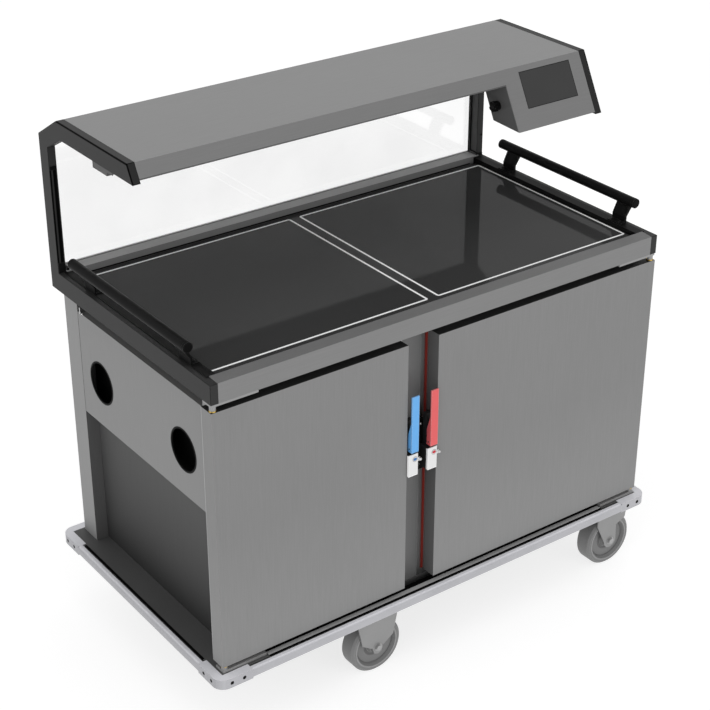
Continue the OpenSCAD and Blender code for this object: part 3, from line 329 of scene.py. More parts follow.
# Frames: painted shade on their ends that slant as the canopy's front does, and painted dark lines
# on their edges
frame_coat_shade = {"fine": 1400, "fine_share": 0.1, "broad": 5, "broad_share": 0.04, "bump": 0.3,
              "edge": 3.2, "painted_edge_share": 1.0, "painted_edge_tone": 6, "slope_shade_share": 0.6, "ior": 1.15}
black_coat = {"fine": 1500, "fine_share": 0.25, "broad": 8, "broad_share": 0.08, "bump": 0.3,
              "edge": 1.0, "painted_edge_share": 0.06, "ior": 1.12}
dyed = {"fine": 2200, "fine_share": 0.04, "broad": 40, "broad_share": 0.03}
lever_gloss = dict(dyed, bump=0.2, edge=2.0, painted_edge_share=0.45, ior=1.3)

# Finishes: name, tone of 0 to 255 or three channels, roughness, and the rest by name; where an
# edge share is given, the edges carry a painted highlight, dark on the frames
# Cold door: painted shade on its top face, almost black
material("door_grey_top_shade", 128, 0.5, turned=((UP, 0.08),), **door_coat_floor_light)
material("panel_grey", 131, 0.5, **panel_coat)
# Corner posts: painted shade on their front faces
material("corner_grey_front_shade", 137, 0.5, turned=((FRONT, 0.42),), **panel_coat)
# Hot door: painted shade on its left face in the gap between the doors, and on its top face
material("hot_door_left_top_shade", 128, 0.5, turned=((LEFT, 0.52), (UP, 0.08)), **door_coat_floor_light)
# Cabinets: painted shade, darker towards the bottom of the recess
material("cabinet_grey_low_shade", 86, 0.5, broad_share=0.04, floor_light_shade_share=0.4, ior=1.15, **coated_up)
# Canopy: painted shade on its slanted front
material("canopy_grey", 135, 0.45, broad=3, broad_share=0.02, edge=1.5, painted_edge_share=0.12,
         slope_shade_share=0.74, ior=1.3, **coated_across)
# Fascia: painted shade on its top face
material("fascia_grey_top_shade", 126, 0.45, broad=4, broad_share=0.03, edge=1.5, painted_edge_share=0.12,
         ior=1.3, turned=((UP, 0.72),), **coated_across)
# Rear rail: painted shade on its front and back faces, so that its top is lighter
material("rail_grey_face_shade", 172, 0.45, broad=4, broad_share=0.03, edge=1.0, painted_edge_share=0.1,
         ior=1.3, turned=((FRONT, 0.5), (REAR, 0.55)), **coated_across)
material("joint_grey", 74, 0.5, fine=1500, fine_share=0.1, bump=0.4, ior=1.15)
material("lining_grey", 90, 0.5, broad=4, broad_share=0.04, ior=1.25, **coated_across)
material("base_grey", 80, 0.5, fine=500, fine_share=0.08, broad=6, broad_share=0.06,
         edge=1.5, painted_edge_share=0.1, ior=1.3)
material("dark_frame", 54, 0.42, **frame_coat_shade)
# Right frame: painted light on its inner faces, a lit copy of the dark frame
material("frame_right_lit_inner", 54, 0.42, turned=((LEFT, 3.0),), **frame_coat_shade)
material("box_grey", 90, 0.45, fine=1400, fine_share=0.08, broad=5, broad_share=0.05,
         bump=0.3, edge=1.5, ior=1.2)
# Screen tracks: painted light on their faces that look left
material("track_black_lit_left", 22, 0.42, turned=((LEFT, 9.0),), **black_coat)
# Bumper: painted shade on its front, sides and back, so that its top is lighter, and a painted
# highlight on its edges
material("bumper", (226, 226, 231), 0.42, fine=900, fine_share=0.05, broad=12,
         broad_share=0.06, bump=0.25, edge=2.0, painted_edge_share=0.3, ior=1.35,
         turned=((FRONT, 0.58), (LEFT, 0.5), (RIGHT, 0.6), (REAR, 0.6)))
material("hinge_grey", 150, 0.4, metal=0.2, fine=1200, fine_share=0.06, broad=20,
         broad_share=0.06, edge=0.8, painted_edge_share=0.15, ior=1.3)
# A lit copy of the base plate's top for the sill strip, painted light
material("sill_lit_grey", 172, 0.5, broad=4, broad_share=0.03, ior=1.3, **coated_across)
material("liner_steel", 170, 0.3, metal=0.9, fine=800, fine_share=0.06, stretch=GRAIN_UP,
         broad=5, broad_share=0.06, edge=0.8)
material("steel", 165, 0.28, metal=1.0, fine=1200, fine_share=0.08, broad=20,
         broad_share=0.08, edge=0.8, painted_edge_share=0.15)
material("bright_steel", 205, 0.18, metal=1.0, fine=1500, fine_share=0.05, broad=30,
         broad_share=0.06, edge=0.5)
material("post_steel", 112, 0.45, metal=0.2, fine=700, fine_share=0.06, stretch=GRAIN_UP,
         broad=5, broad_share=0.04, edge=1.2, painted_edge_share=0.1, ior=1.3)
material("brass", (225, 190, 100), 0.3, metal=1.0, fine=1500, fine_share=0.08, broad=60,
         broad_share=0.12)
material("black_metal", 22, 0.42, **black_coat)
material("black_plastic", 14, 0.45, fine=2200, fine_share=0.3, broad=10, broad_share=0.1,
         bump=0.5, edge=0.8, painted_edge_share=0.04, ior=1.12)
material("glass_ceramic", 60, 0.05, fine=1600, fine_share=0.12, broad=4, broad_share=0.04,
         bump=0.01, rough_share=0.2, ior=1.12)
material("display_glass", 58, 0.12, fine=2500, fine_share=0.06, broad=12, broad_share=0.04,
         bump=0.02, ior=1.25)
material("mat_film", (170, 130, 60), 0.5, fine=900, fine_share=0.12, broad=8,
         broad_share=0.1)
material("cold_plate", (150, 165, 175), 0.35, metal=0.8, fine=900, fine_share=0.08, broad=9,
         broad_share=0.08, edge=1.0)
material("seal_dark", 26, 0.6, fine=1800, fine_share=0.2, bump=0.5, ior=1.15)
material("seal_red", (125, 42, 36), 0.55, fine=1800, fine_share=0.15, bump=0.5, ior=1.2)
material("lever_blue", (102, 170, 230), 0.38, **lever_gloss)
material("lever_red", (222, 96, 98), 0.38, **lever_gloss)
material("mark_blue", (62, 112, 172), 0.4, ior=1.25, **dyed)
material("mark_red", (198, 52, 62), 0.4, ior=1.25, **dyed)
# Latch plates: a painted highlight on their edges, and painted shade, black, behind their front
# face
material("latch_plate", 226, 0.35, fine=1600, fine_share=0.03, broad=30, broad_share=0.02,
         bump=0.15, edge=1.2, painted_edge_share=0.8, ior=1.3, behind=-394.2)
material("caster_grey", 144, 0.4, metal=0.1, fine=900, fine_share=0.05, broad=15,
         broad_share=0.05, bump=0.2, edge=1.2, painted_edge_share=0.2, ior=1.35)
material("wheel_grey", 124, 0.55, fine=1600, fine_share=0.06, broad=12, broad_share=0.05,
         bump=0.4, edge=1.5, painted_edge_share=0.15, ior=1.3)
material("hub_grey", 100, 0.45, fine=1600, fine_share=0.06, broad=20, broad_share=0.05,
         bump=0.3, edge=0.8, painted_edge_share=0.15, ior=1.3)
# White of the printed zone lines, also used for the painted highlight strips on the latch plates'
# edges
material("print_and_highlight_white", 255, 0.35, fine=1500, fine_share=0.01, broad=10, broad_share=0.01,
         ior=1.3)
material("gap_black", 6, 0.7, fine=1500, fine_share=0.3, ior=1.1)
glass("clear_glass", 249, 0.015)
glass("lamp_glass", (250, 244, 232), 0.25)

node_finish = {
    "base_plate": "base_grey",
    "bumper_corners": "bumper",
    "bumper_rails": "bumper",
    "cover_screws": "black_metal",
    "cold_cabinet": "cabinet_grey_low_shade",
    "hot_cabinet": "cabinet_grey_low_shade",
    "cold_liner": "liner_steel",
    "hot_liner": "liner_steel",
    "corner_posts": "corner_grey_front_shade",
    "left_side_panel": "panel_grey",
    "right_side_panel": "panel_grey",
    "rear_panel": "panel_grey",
    "centre_post": "post_steel",
    "latch_strike": "black_plastic",
    "side_frame_left": "dark_frame",
    "side_frame_right": "frame_right_lit_inner",
    "canopy_shell": "canopy_grey",
    "canopy_lining": "lining_grey",
    "heat_lamps": "lamp_glass",
    "lamp_housings": "lining_grey",
    "control_box": "box_grey",
    "display_panel": "display_glass",
    "glass_screen": "clear_glass",
    "screen_tracks": "track_black_lit_left",
    "front_fascia": "fascia_grey_top_shade",
    "rear_rail": "rail_grey_face_shade",
    "side_rails": "black_metal",
    "glass_top": "glass_ceramic",
    "heating_mats": "mat_film",
    "handle_bars": "black_metal",
    "handle_brackets": "black_metal",
    "hinge_brackets": "hinge_grey",
    "hinge_pins": "bright_steel",
    "hinge_bushes": "brass",
    "tray_runners": "liner_steel",
    "cold_plate": "cold_plate",
    "hot_element": "steel",
    "power_inlet": "black_plastic",
    "fixed_forks": "caster_grey",
    "swivel_plates": "caster_grey",
    "fixed_axles": "steel",
    "cold_door_shell": "door_grey_top_shade",
    "cold_door_liner": "liner_steel",
    "cold_door_seal": "seal_dark",
    "hot_door_shell": "hot_door_left_top_shade",
    "hot_door_liner": "liner_steel",
    "hot_door_seal": "seal_red",
    "cold_latch_body": "latch_plate",
    "cold_latch_lever": "lever_blue",
    "hot_latch_body": "latch_plate",
    "hot_latch_lever": "lever_red",
    "control_knob": "black_plastic",
    "fixed_wheel_front": "wheel_grey",
    "fixed_wheel_rear": "wheel_grey",
    "swivel_wheel_front": "wheel_grey",
    "swivel_wheel_rear": "wheel_grey",
    "swivel_fork_front": "caster_grey",
    "swivel_fork_rear": "caster_grey",
    "swivel_axle_front": "steel",
    "swivel_axle_rear": "steel",
}
for name, finish in node_finish.items():
    for slot in cad_nodes[name].material_slots:
        slot.material = finishes[finish]

# Steps of rounded edges, of outlines' corners, of turned forms and of their nuts and screws,
# and the distance in m under which vertices become one
EDGE_STEPS = 2
CORNER_STEPS = 5
TURN_STEPS = 40
NUT_SIDES = 6
SCREW_STEPS = 20
WELD = 0.00001


def piece(name, mesh_data, body, finish):
    """A piece of the object from a bmesh, riding on a body, with its finish."""
    data = bpy.data.meshes.new(name)
    mesh_data.normal_update()
    mesh_data.to_mesh(data)
    mesh_data.free()
    made = bpy.data.objects.new(name, data)
    scene.collection.objects.link(made)
    data.materials.append(finishes[finish])
    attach(made, body)


def soft_box(low, high, radius):
    """A bmesh block between two corners in mm, with rounded edges."""
    made = bmesh.new()
    low = Vector(low)
    high = Vector(high)
    bmesh.ops.create_cube(made, size=1)
    size = high - low
    middle = (low + high) / 2
    for vertex in made.verts:
        vertex.co = Vector(vertex.co[i] * size[i] + middle[i] for i in range(3)) * MM
    if radius:
        bmesh.ops.bevel(made, geom=made.edges[:], offset=radius * MM, segments=EDGE_STEPS,
                        profile=0.5, affect="EDGES")
    return made


def lathe(profile, origin, axis, steps):
    """A bmesh turned round an axis; the profile holds (radius, distance along the axis) in mm."""
    made = bmesh.new()
    turn = Vector(axis).to_track_quat("Z", "Y").to_matrix()
    rings = []
    for step in range(steps):
        angle = 2 * math.pi * step / steps
        ring = []
        for radius, along in profile:
            point = Vector((radius * math.cos(angle), radius * math.sin(angle), along))
            ring.append(made.verts.new((turn @ point + Vector(origin)) * MM))
        rings.append(ring)
    for step in range(steps):
        first = rings[step]
        second = rings[(step + 1) % steps]
        for index in range(len(profile) - 1):
            made.faces.new((first[index], second[index], second[index + 1], first[index + 1]))
    bmesh.ops.remove_doubles(made, verts=made.verts[:], dist=WELD)
    bmesh.ops.recalc_face_normals(made, faces=made.faces[:])
    return made


def rounded_outline(x0, x1, y0, y1, radius):
    """Points of a rectangle with rounded corners, in order."""
    points = []
    corners = ((x1, y1, 0), (x0, y1, 90), (x0, y0, 180), (x1, y0, 270))
    for x, y, start in corners:
        centre_x = x - radius if x == x1 else x + radius
        centre_y = y - radius if y == y1 else y + radius
        for step in range(CORNER_STEPS + 1):
            angle = math.radians(start + 90 * step / CORNER_STEPS)
            points.append((centre_x + radius * math.cos(angle),
                           centre_y + radius * math.sin(angle)))
    return points


def ring_plate(outer, inner, low, high):
    """A flat ring between two outlines with as many points each, from low to high, in mm."""
    made = bmesh.new()
    levels = []
    for outline, level in ((outer, low), (outer, high), (inner, high), (inner, low)):
        levels.append([made.verts.new(Vector((x, y, level)) * MM) for x, y in outline])
    count = len(outer)
    for index in range(count):
        following = (index + 1) % count
        for side in range(4):
            one = levels[side]
            other = levels[(side + 1) % 4]
            made.faces.new((one[index], one[following], other[following], other[index]))
    bmesh.ops.recalc_face_normals(made, faces=made.faces[:])
    return made


def join_into(target, source):
    """Adds one bmesh to another."""
    data = bpy.data.meshes.new("part")
    source.to_mesh(data)
    source.free()
    target.from_mesh(data)
    bpy.data.meshes.remove(data)


def many(parts):
    """One bmesh of several."""
    whole = bmesh.new()
    for part in parts:
        join_into(whole, part)
    return whole


def hexagon(origin, axis, radius, thick):
    """A hexagon nut with a turned edge, standing on its origin along an axis, in mm."""
    return lathe([(0, thick), (radius * 0.82, thick), (radius, thick * 0.75), (radius, 0), (0, 0)],
                 origin, axis, NUT_SIDES)


def button_head(origin, axis, size):
    """A domed screw head with a socket, of a radius and a height, standing on its origin."""
    radius, height = size
    return lathe([(0, height * 0.35), (radius * 0.42, height * 0.35), (radius * 0.46, height),
                  (radius * 0.72, height * 0.92), (radius * 0.94, height * 0.55), (radius, 0),
                  (0, 0)], origin, axis, SCREW_STEPS)


def tilted_box(low, high, radius, anchor):
    """A rounded block in the plane of the canopy's slanted front, measured from an anchor."""
    made = soft_box(low, high, radius)
    lean = Matrix.Rotation(-CANOPY_LEAN, 4, "X")
    bmesh.ops.transform(made, matrix=Matrix.Translation(Vector(anchor) * MM) @ lean,
                        verts=made.verts[:])
    return made


# Printed outlines of the two heated zones on the glass
PRINT_WIDTH = 6
PRINT_UP = 0.15
PRINT_CORNER = 8
ZONE_FRONT = -314.8
ZONE_BACK = 300.3
glass_low, glass_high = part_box("glass_top")
glass_back = glass_high.y / MM
glass_under = glass_low.z / MM
glass_top = glass_high.z / MM
for name, x0, x1 in (("zone_line_left", -656.9, -16.8), ("zone_line_right", 11.8, 656.0)):
    outer = rounded_outline(x0, x1, ZONE_FRONT, ZONE_BACK, PRINT_CORNER)
    inner = rounded_outline(x0 + PRINT_WIDTH, x1 - PRINT_WIDTH, ZONE_FRONT + PRINT_WIDTH,
                            ZONE_BACK - PRINT_WIDTH, PRINT_CORNER - PRINT_WIDTH)
    piece(name, ring_plate(outer, inner, glass_top, glass_top + PRINT_UP), "chassis",
          "print_and_highlight_white")

# Joint between the glass and the rear rail, in two strips, each with a raised ridge
JOINT_HALF = 643
JOINT_EDGE = 0.6
SEAL_BACK = 322.6
LIP_FRONT = 322.9
LIP_BACK = 329.8
LIP_RIDGE = (325.6, 328.6)
RIDGE_EDGE = 0.5
RIDGE_ROOT = glass_top - 2.0
RIDGE_TOP = glass_top - 0.3


def joint_strip(front, back, low, high, radius):
    """A strip of the rear joint, along x."""
    return soft_box((-JOINT_HALF, front, low), (JOINT_HALF, back, high), radius)


piece("rear_joint_seal", many([
    joint_strip(glass_back + 0.4, SEAL_BACK, glass_under, glass_top - 1.0, JOINT_EDGE),
    joint_strip(glass_back + 1.6, glass_back + 4.2, RIDGE_ROOT, RIDGE_TOP, RIDGE_EDGE),
]), "chassis", "joint_grey")
piece("rear_joint_lip", many([
    joint_strip(LIP_FRONT, LIP_BACK, glass_under, glass_top - 1.2, JOINT_EDGE),
    joint_strip(*LIP_RIDGE, RIDGE_ROOT, RIDGE_TOP, RIDGE_EDGE),
]), "chassis", "gap_black")

# Joint all round the glass, filled with black silicone
SILICONE_OUT = (659.9, -351.9)
SILICONE_IN = (657.7, -350.0)
SILICONE_CORNER = 1.0
piece("glass_joint", ring_plate(
    rounded_outline(-SILICONE_OUT[0], SILICONE_OUT[0], SILICONE_OUT[1], glass_back,
                    SILICONE_CORNER),
    rounded_outline(-SILICONE_IN[0], SILICONE_IN[0], SILICONE_IN[1], glass_back - 2.0,
                    SILICONE_CORNER),
    glass_top - 0.4, glass_top + 0.05), "chassis", "seal_dark")

# Handles: end caps, and the screws that hold the brackets to the covers
handle_low, handle_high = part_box("handle_bars")
tube_z = (handle_low.z + handle_high.z) / 2 / MM
tube_r = (handle_high.z - handle_low.z) / 2 / MM
tube_front = handle_low.y / MM
tube_back = handle_high.y / MM
tube_x = handle_high.x / MM - tube_r
COLLAR_IN = 8
BRACKET_YS = (-259.5, 196.0)
SCREW_STEP = 14
FOOT_SCREW_X = 671
FOOT_SCREW_Z = 1045
FOOT_SCREW = (4.6, 2.6)
WALL_SCREW_IN = 16.5
WALL_SCREW_Z = 1052
WALL_SCREW = (3.6, 2.0)
cap_outline = [(0, 1.9), (tube_r * 0.78, 1.9), (tube_r * 0.9, 1.2), (tube_r * 0.96, 0), (0, 0)]
collar_outline = [(tube_r * 0.96, 0), (tube_r + 0.35, 0), (tube_r + 0.35, 1.2),
                  (tube_r * 0.96, 1.2)]
for side, sign in SIDES:
    caps = []
    for end, out in ((tube_front, -1), (tube_back, 1)):
        caps.append(lathe(cap_outline, (sign * tube_x, end, tube_z), (0, out, 0), TURN_STEPS))
        caps.append(lathe(collar_outline, (sign * tube_x, end - out * COLLAR_IN, tube_z),
                          (0, out, 0), TURN_STEPS))
    piece("handle_caps_" + side, many(caps), "chassis", "black_plastic")
    heads = []
    for middle in BRACKET_YS:
        for y in (middle - SCREW_STEP, middle + SCREW_STEP):
            heads.append(button_head((sign * FOOT_SCREW_X, y, FOOT_SCREW_Z), UP, FOOT_SCREW))
            heads.append(button_head((sign * (tube_x - WALL_SCREW_IN), y, WALL_SCREW_Z),
                                     (-sign, 0, 0), WALL_SCREW))
    piece("bracket_screws_" + side, many(heads), "chassis", "black_metal")

# Side frames: upturned ends of the covers, black strips that paint the shade on the left post's
# front and a clip on it, a stop knob
COVER_IN = 679.2
COVER_OUT = 699.6
COVER_Z = 1040
COVER_END_FRONT = 336.8
COVER_END_TOP = 1048
POST_FRONT = 339
SHADE_STRIP_FRONT = 339.05
SHADE_STRIP_LOW = 1068
SHADE_STRIP_HIGH = 1319
piece("cover_end_left", soft_box((-COVER_OUT, COVER_END_FRONT, COVER_Z),
                                 (-COVER_IN, POST_FRONT, SHADE_STRIP_LOW), 0.7),
      "chassis", "black_metal")
piece("cover_end_right", soft_box((COVER_IN, COVER_END_FRONT, COVER_Z),
                                  (COVER_OUT, POST_FRONT, COVER_END_TOP), 0.7),
      "chassis", "black_metal")
piece("post_shade_strips_left", many([
    soft_box((-699.4, 338.2, SHADE_STRIP_LOW), (-695.4, SHADE_STRIP_FRONT, SHADE_STRIP_HIGH), 0.3),
    soft_box((-690.6, 337.6, SHADE_STRIP_LOW), (-682.6, SHADE_STRIP_FRONT, SHADE_STRIP_HIGH), 0.4),
]), "chassis", "gap_black")
piece("post_clip_left", soft_box((-699.2, 336.6, 1320), (-681, 339.1, 1330), 0.8), "chassis",
      "black_plastic")
STOP_AT = (695, POST_FRONT, 1103)
piece("post_stop_right", lathe([(0, 3), (2.4, 3), (3.4, 2), (3.6, 0), (0, 0)], STOP_AT, FRONT,
                               SCREW_STEPS), "chassis", "black_plastic")

# Fine seams where the canopy's sheet meets the side frames
CANOPY_FRONT = -64
CANOPY_TOP = 1467
SEAM_BACK = 279
SEAM_LOW = 1466.6
for side, x in (("left", -679.2), ("right", 678.8)):
    seam = soft_box((x - 0.2, CANOPY_FRONT, SEAM_LOW), (x + 0.6, SEAM_BACK, CANOPY_TOP), 0)
    piece("canopy_seam_" + side, seam, "chassis", "gap_black")

# Black trim along the outer edges of the side frames' arms and down their slanted ends
ARM_SLOPE_LEN = 51
ARM_BACK = 280
TRIM_OUT = 700.12
TRIM_IN = 697.0
TRIM_TOP = 1467.05
TRIM_EDGE = 0.1
END_IN = 679.3
END_OUT = 700
for side, sign in SIDES:
    trim_left, trim_right = sorted((sign * TRIM_OUT, sign * TRIM_IN))
    end_left, end_right = sorted((sign * END_IN, sign * END_OUT))
    piece("arm_trim_" + side, many([
        soft_box((trim_left, CANOPY_FRONT, 1463.6), (trim_right, ARM_BACK, TRIM_TOP), TRIM_EDGE),
        soft_box((end_left, -64.2, 1465.4), (end_right, -61.6, TRIM_TOP), TRIM_EDGE),
        tilted_box((trim_left, -0.12, -ARM_SLOPE_LEN), (trim_right, 2.6, 0), TRIM_EDGE,
                   (0, CANOPY_FRONT, CANOPY_TOP)),
    ]), "chassis", "gap_black")

# Gasket of the display, flush with the slanted front
GASKET_WIDE = 1.4
GASKET_OUT = -0.25
GASKET_IN = 0.9
GASKET_EDGE = 0.2
DISPLAY_HALF = 86.5
DISPLAY_TOP = -17
DISPLAY_LOW = -113
case_low, case_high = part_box("display_panel")
display_mid = (case_low.x + case_high.x) / 2 / MM
gasket_half = DISPLAY_HALF + GASKET_WIDE
gasket_top = DISPLAY_TOP + GASKET_WIDE
gasket_low = DISPLAY_LOW - GASKET_WIDE
gasket = []
for x0, x1, z0, z1 in ((-gasket_half, -DISPLAY_HALF, gasket_low, gasket_top),
                       (DISPLAY_HALF, gasket_half, gasket_low, gasket_top),
                       (-DISPLAY_HALF, DISPLAY_HALF, gasket_low, DISPLAY_LOW),
                       (-DISPLAY_HALF, DISPLAY_HALF, DISPLAY_TOP, gasket_top)):
    gasket.append(tilted_box((x0, GASKET_OUT, z0), (x1, GASKET_IN, z1), GASKET_EDGE,
                             (display_mid, CANOPY_FRONT, CANOPY_TOP)))
piece("display_gasket", many(gasket), "chassis", "gap_black")

# Knob: a cap in the middle, a pointer ridge on one lobe, and a ring behind it on the box
KNOB_Y = -55
KNOB_Z = 1368
BOX_WALL = 411
knob_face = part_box("control_knob")[0].x / MM
piece("knob_cap", many([
    lathe([(0, 1.4), (5.2, 1.4), (6.2, 0.7), (6.4, -0.6), (0, -0.6)],
          (knob_face, KNOB_Y, KNOB_Z), LEFT, TURN_STEPS),
    soft_box((knob_face - 1.2, KNOB_Y - 1, 1375.5), (knob_face + 0.5, KNOB_Y + 1, 1381.2), 0.4),
]), "knob", "black_metal")
piece("knob_shroud", lathe([(9.4, 0), (12.2, 0), (12.2, 1.0), (11.4, 1.6), (9.4, 1.6)],
                           (BOX_WALL, KNOB_Y, KNOB_Z), LEFT, TURN_STEPS),
      "chassis", "black_plastic")

# Latches: a ring with a coloured mark, a hooked thumb piece, and white strips on the plate's edges
# that paint their highlight
LATCH_FACE = -396.0
LATCH_WIDE = 29.5
MARK_IN = 20
MARK_Z = 640
MARK_FLAT = 0.8
THUMB_OUT = 5.0
THUMB_Y = -397
THUMB_Z = 636
for name, left, finish, tint in (("cold", -136.0, "lever_blue", "mark_blue"),
                                 ("hot", -75.0, "lever_red", "mark_red")):
    body = name + "_door"
    edge = left + LATCH_WIDE
    ring = lathe([(5.4, -0.2), (7.6, -0.2), (7.6, 0.5), (6.9, 0.8), (5.9, 0.6), (5.4, 0.1)],
                 (left + MARK_IN, LATCH_FACE, MARK_Z), FRONT, 36)
    piece(name + "_latch_ring", ring, body, "steel")
    mark = lathe([(0, 0.9), (4.6, 0.9), (5.2, 0.55), (5.2, 0), (0, 0)],
                 (left + MARK_IN, LATCH_FACE - 0.5, MARK_Z), FRONT, 28)
    for vertex in mark.verts:
        vertex.co.z = MARK_Z * MM + (vertex.co.z - MARK_Z * MM) * MARK_FLAT
    piece(name + "_latch_mark", mark, body, tint)
    hook = lathe([(0, 4.8), (2.6, 4.6), (4.0, 3.4), (4.6, 1.2), (4.4, -1.0), (0, -1.0)],
                 (edge + THUMB_OUT, THUMB_Y, THUMB_Z), (1, -0.4, 0), 24)
    piece(name + "_latch_thumb", hook, body, "bright_steel")
    # White strips on the plate's left and lower edges: a painted highlight
    piece(name + "_latch_edge_highlight", many([
        soft_box((left - 0.05, -396.4, 592.2), (left + 1.2, -389, 654.8), 0.5),
        soft_box((left + 0.5, -396.5, 592), (edge - 0.3, -394, 593.6), 0.6),
    ]), body, "print_and_highlight_white")

# Screws of the strike plate, each in a dark ring
STRIKE_X = -72
STRIKE_SCREW_Y = -360.2
STRIKE_RIM_Y = -360.1
STRIKE_ZS = (712, 594)
STRIKE_SCREW = (3.4, 1.8)
piece("strike_screws", many([
    button_head((STRIKE_X, STRIKE_SCREW_Y, z), FRONT, STRIKE_SCREW) for z in STRIKE_ZS
]), "chassis", "bright_steel")
piece("strike_screw_rims", many([
    lathe([(3.6, 0), (5.2, 0), (4.9, 0.5), (3.6, 0.5)], (STRIKE_X, STRIKE_RIM_Y, z), FRONT, 24)
    for z in STRIKE_ZS
]), "chassis", "gap_black")

# Left panel: rims round the two holes, a black sheet behind them that paints the shade inside, and
# the clip at the rear
PANEL_X = 670
HOLE_Z = 769.8
HOLE_STEPS = 56
hole_outline = [(54.9, -2.6), (56.4, -2.6), (56.4, 0.1), (59.6, 0.1), (59.6, 0.7), (55.6, 0.9),
                (54.9, 0.4)]
for name, y in (("front", -200), ("rear", 206)):
    piece("hole_rim_" + name, lathe(hole_outline, (-PANEL_X, y, HOLE_Z), LEFT, HOLE_STEPS),
          "chassis", "black_plastic")
piece("hole_shade_sheet", soft_box((-635.9, -292, 644), (-635.05, 304, 932), 0.3), "chassis",
      "gap_black")
CLIP_X = -671.2
CLIP_LOW = 931
piece("panel_clip", many([
    soft_box((CLIP_X, 296.5, CLIP_LOW), (-655, 299.6, 951), 0.7),
    soft_box((CLIP_X, 284, CLIP_LOW), (-655, 299.6, 934.4), 0.7),
    soft_box((CLIP_X, 284, CLIP_LOW), (-669.6, 296, 940), 0.5),
]), "chassis", "bright_steel")
piece("clip_dot", lathe([(0, 1.2), (2.2, 1.2), (2.6, 0.6), (2.8, 0), (0, 0)],
                        (CLIP_X, 290, 938.6), LEFT, SCREW_STEPS), "chassis", "black_plastic")

# Seams between the corner posts and the side panels
POST_SEAM = (310.9, 311.7)
FRONT_SEAM = (-300.4, -299.6)
SEAM_BASE = 229
SEAM_HEAD = 985
seams = []
for x0, x1, (front, back) in ((-PANEL_X - 0.25, -PANEL_X + 0.1, POST_SEAM),
                              (PANEL_X - 0.1, PANEL_X + 0.25, POST_SEAM),
                              (PANEL_X - 0.1, PANEL_X + 0.25, FRONT_SEAM)):
    seams.append(soft_box((x0, front, SEAM_BASE), (x1, back, SEAM_HEAD), 0))
piece("post_seams", many(seams), "chassis", "seal_dark")

# Casters: hub rings and tread seams on the wheels, nuts and washers on the axles
WHEEL_Z = 80
CASTER_Y = 343
HUB_FACE = 16
TREAD_FACE = 25.6
WASHER_FACE = 32.6
NUT_FACE = 37.2
NUT = (8.6, 2.8)
HUB_OUTLINE = [(27.5, 0), (29.5, 1.1), (33.5, 1.1), (35.0, 0), (35.0, -1.0), (27.5, -1.0)]
DISC_OUTLINE = [(55.5, 0.6), (57.5, 2.4), (58.5, 2.4), (59.2, 0), (59.2, -3.0), (55.5, -3.0)]
TREAD_OUTLINE = [(63.4, 0.15), (65.4, 0.5), (66.6, 0.5), (67.2, 0.15), (67.2, -1.2),
                 (63.4, -1.2)]
WASHER_OUTLINE = [(8, 0), (12.2, 0), (12.2, 0.9), (11.6, 1.3), (8, 1.3)]
FIXED_X = -213
SWIVEL_X = 632
for name, x, y, carrier in (
        ("fixed_wheel_front", FIXED_X, -CASTER_Y, "chassis"),
        ("fixed_wheel_rear", FIXED_X, CASTER_Y, "chassis"),
        ("swivel_wheel_front", SWIVEL_X, -CASTER_Y, "swivel_fork_front"),
        ("swivel_wheel_rear", SWIVEL_X, CASTER_Y, "swivel_fork_rear")):
    rings = []
    seams = []
    nuts = []
    for out in (-1, 1):
        axis = (0, out, 0)
        hub_at = (x, y + out * HUB_FACE, WHEEL_Z)
        rings.append(lathe(HUB_OUTLINE, hub_at, axis, 48))
        rings.append(lathe(DISC_OUTLINE, hub_at, axis, 56))
        seams.append(lathe(TREAD_OUTLINE, (x, y + out * TREAD_FACE, WHEEL_Z), axis, 64))
        nuts.append(hexagon((x, y + out * NUT_FACE, WHEEL_Z), axis, *NUT))
        nuts.append(lathe(WASHER_OUTLINE, (x, y + out * WASHER_FACE, WHEEL_Z), axis, 32))
    piece(name + "_rings", many(rings), name, "hub_grey")
    piece(name + "_tread_seams", many(seams), name, "caster_grey")
    piece(name + "_nuts", many(nuts), carrier, "steel")

# Bolts of the casters' plates, and the races over the swivel forks
KING_X = 651
BOLT = (6.2, 3.6)
BOLT_STEP_Y = 43
for name, x, half_x, foot in (("fixed", FIXED_X, 58, 192), ("swivel", KING_X, 44, 190)):
    bolts = []
    for y in (-CASTER_Y, CASTER_Y):
        for step_x in (-half_x, half_x):
            for step_y in (-BOLT_STEP_Y, BOLT_STEP_Y):
                bolts.append(hexagon((x + step_x, y + step_y, foot), DOWN, *BOLT))
    piece(name + "_plate_bolts", many(bolts), "chassis", "steel")
RACE_STEPS = 48
LOWER_RACE_Z = 182
UPPER_RACE_Z = 186.2
LOWER_RACE = [(30.5, 0.6), (33.2, 0.6), (33.8, 2.0), (33.2, 3.4), (30.5, 3.4)]
UPPER_RACE = [(30.5, 0), (32.8, 0), (33.2, 1.2), (32.8, 2.4), (30.5, 2.4)]
for name, y in (("front", -CASTER_Y), ("rear", CASTER_Y)):
    piece("swivel_race_" + name, many([
        lathe(LOWER_RACE, (KING_X, y, LOWER_RACE_Z), UP, RACE_STEPS),
        lathe(UPPER_RACE, (KING_X, y, UPPER_RACE_Z), UP, RACE_STEPS),
    ]), "chassis", "steel")

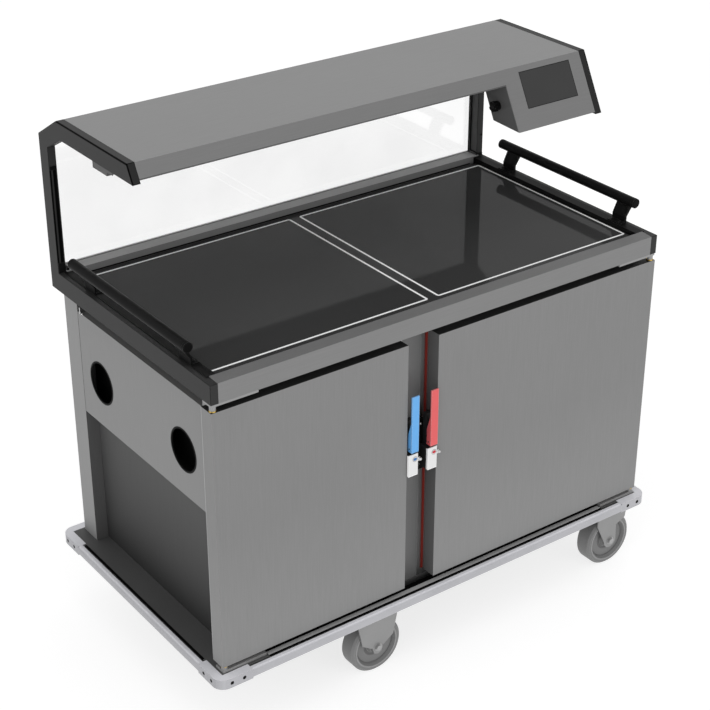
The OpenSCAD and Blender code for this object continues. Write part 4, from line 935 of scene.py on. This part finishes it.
# Lamp housing: the lamps' metal caps and the reflector's two lips
LAMP_END = 656
LAMP_GAP = 8
CAP_OUTLINE = [(5.7, 0), (6.5, 0), (6.5, 9), (6.1, 10), (5.7, 10)]
lamp_low, lamp_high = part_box("heat_lamps")
lamp_y = (lamp_low.y + lamp_high.y) / 2 / MM
lamp_z = (lamp_low.z + lamp_high.z) / 2 / MM
piece("lamp_caps", many([
    lathe(CAP_OUTLINE, (x, lamp_y, lamp_z), (out, 0, 0), 28)
    for x, out in ((-LAMP_END, 1), (-LAMP_GAP, -1), (LAMP_GAP, 1), (LAMP_END, -1))
]), "chassis", "steel")
REFLECTOR_HALF = 672
housing_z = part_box("lamp_housings")[0].z / MM
piece("lamp_reflector", many([
    soft_box((-REFLECTOR_HALF, front, housing_z + 0.4), (REFLECTOR_HALF, back, housing_z + 30),
             0.3)
    for front, back in ((77.2, 78.4), (141.6, 142.8))
]), "chassis", "bright_steel")

# Rear: rivets of the panel
REAR_FACE = 382
RIVET_OUTLINE = [(0, 1.3), (2.6, 1.1), (3.8, 0.3), (4.0, 0), (0, 0)]
piece("rear_rivets", many([
    lathe(RIVET_OUTLINE, (x, REAR_FACE, z), REAR, 16)
    for x in (-655, -327, 0, 327, 655)
    for z in (245, 430, 615, 800, 970)
]), "chassis", "steel")

# Sill below the doors: a pale strip that paints the light on the base plate's front, the black
# joint beside the bumper, and a black strip behind that paints the shade under the doors
SILL_HALF = 566
SILL_Z = 226
SILL_LOW = SILL_Z - 0.4
SILL_TOP = SILL_Z + 0.5
SILL_EDGE = 0.2
for name, front, back, finish in (("sill_joint", -396.5, -390.6, "gap_black"),
                                  ("sill_lit_strip", -390.6, -376.8, "sill_lit_grey"),
                                  ("sill_shadow", -376.8, -361.0, "gap_black")):
    piece(name, soft_box((-SILL_HALF, front, SILL_LOW), (SILL_HALF, back, SILL_TOP), SILL_EDGE),
          "chassis", finish)

# Black joints between the side bumpers and the base plate
SIDE_HALF = 308
SIDE_WIDE = 6.5
for side, x in (("left", -711.0), ("right", 704.5)):
    strip = soft_box((x, -SIDE_HALF, SILL_LOW), (x + SIDE_WIDE, SIDE_HALF, SILL_TOP), SILL_EDGE)
    piece("side_joint_" + side, strip, "chassis", "gap_black")

# Hinges: screws in the lower plates
HINGE_END = 700
HINGE_SCREW_Y = -369
HINGE_SCREW_Z = 233
HINGE_SCREW = (4.4, 2.2)
piece("hinge_screws", many([
    button_head((sign * (HINGE_END - step), HINGE_SCREW_Y, HINGE_SCREW_Z), UP, HINGE_SCREW)
    for sign in (-1, 1)
    for step in (40, 80, 118)
]), "chassis", "steel")

# Pale floor that glows a little, so that the shadow on it stays faint
FLOOR_HALF = 30
FLOOR_GREY = 0.4
FLOOR_ROUGH = 0.9
FLOOR_GLOW = 0.74
floor_mesh = bmesh.new()
bmesh.ops.create_grid(floor_mesh, x_segments=1, y_segments=1, size=FLOOR_HALF)
floor_data = bpy.data.meshes.new("floor")
floor_mesh.to_mesh(floor_data)
floor_mesh.free()
floor = bpy.data.objects.new("floor", floor_data)
scene.collection.objects.link(floor)
floor_finish = bpy.data.materials.new("floor")
floor_finish.use_nodes = True
matt = floor_finish.node_tree.nodes["Principled BSDF"]
matt.inputs["Base Color"].default_value = (FLOOR_GREY, FLOOR_GREY, FLOOR_GREY, 1)
matt.inputs["Roughness"].default_value = FLOOR_ROUGH
matt.inputs["Specular IOR Level"].default_value = 0.0
matt.inputs["Emission Color"].default_value = WHITE
matt.inputs["Emission Strength"].default_value = FLOOR_GLOW
floor_data.materials.append(floor_finish)
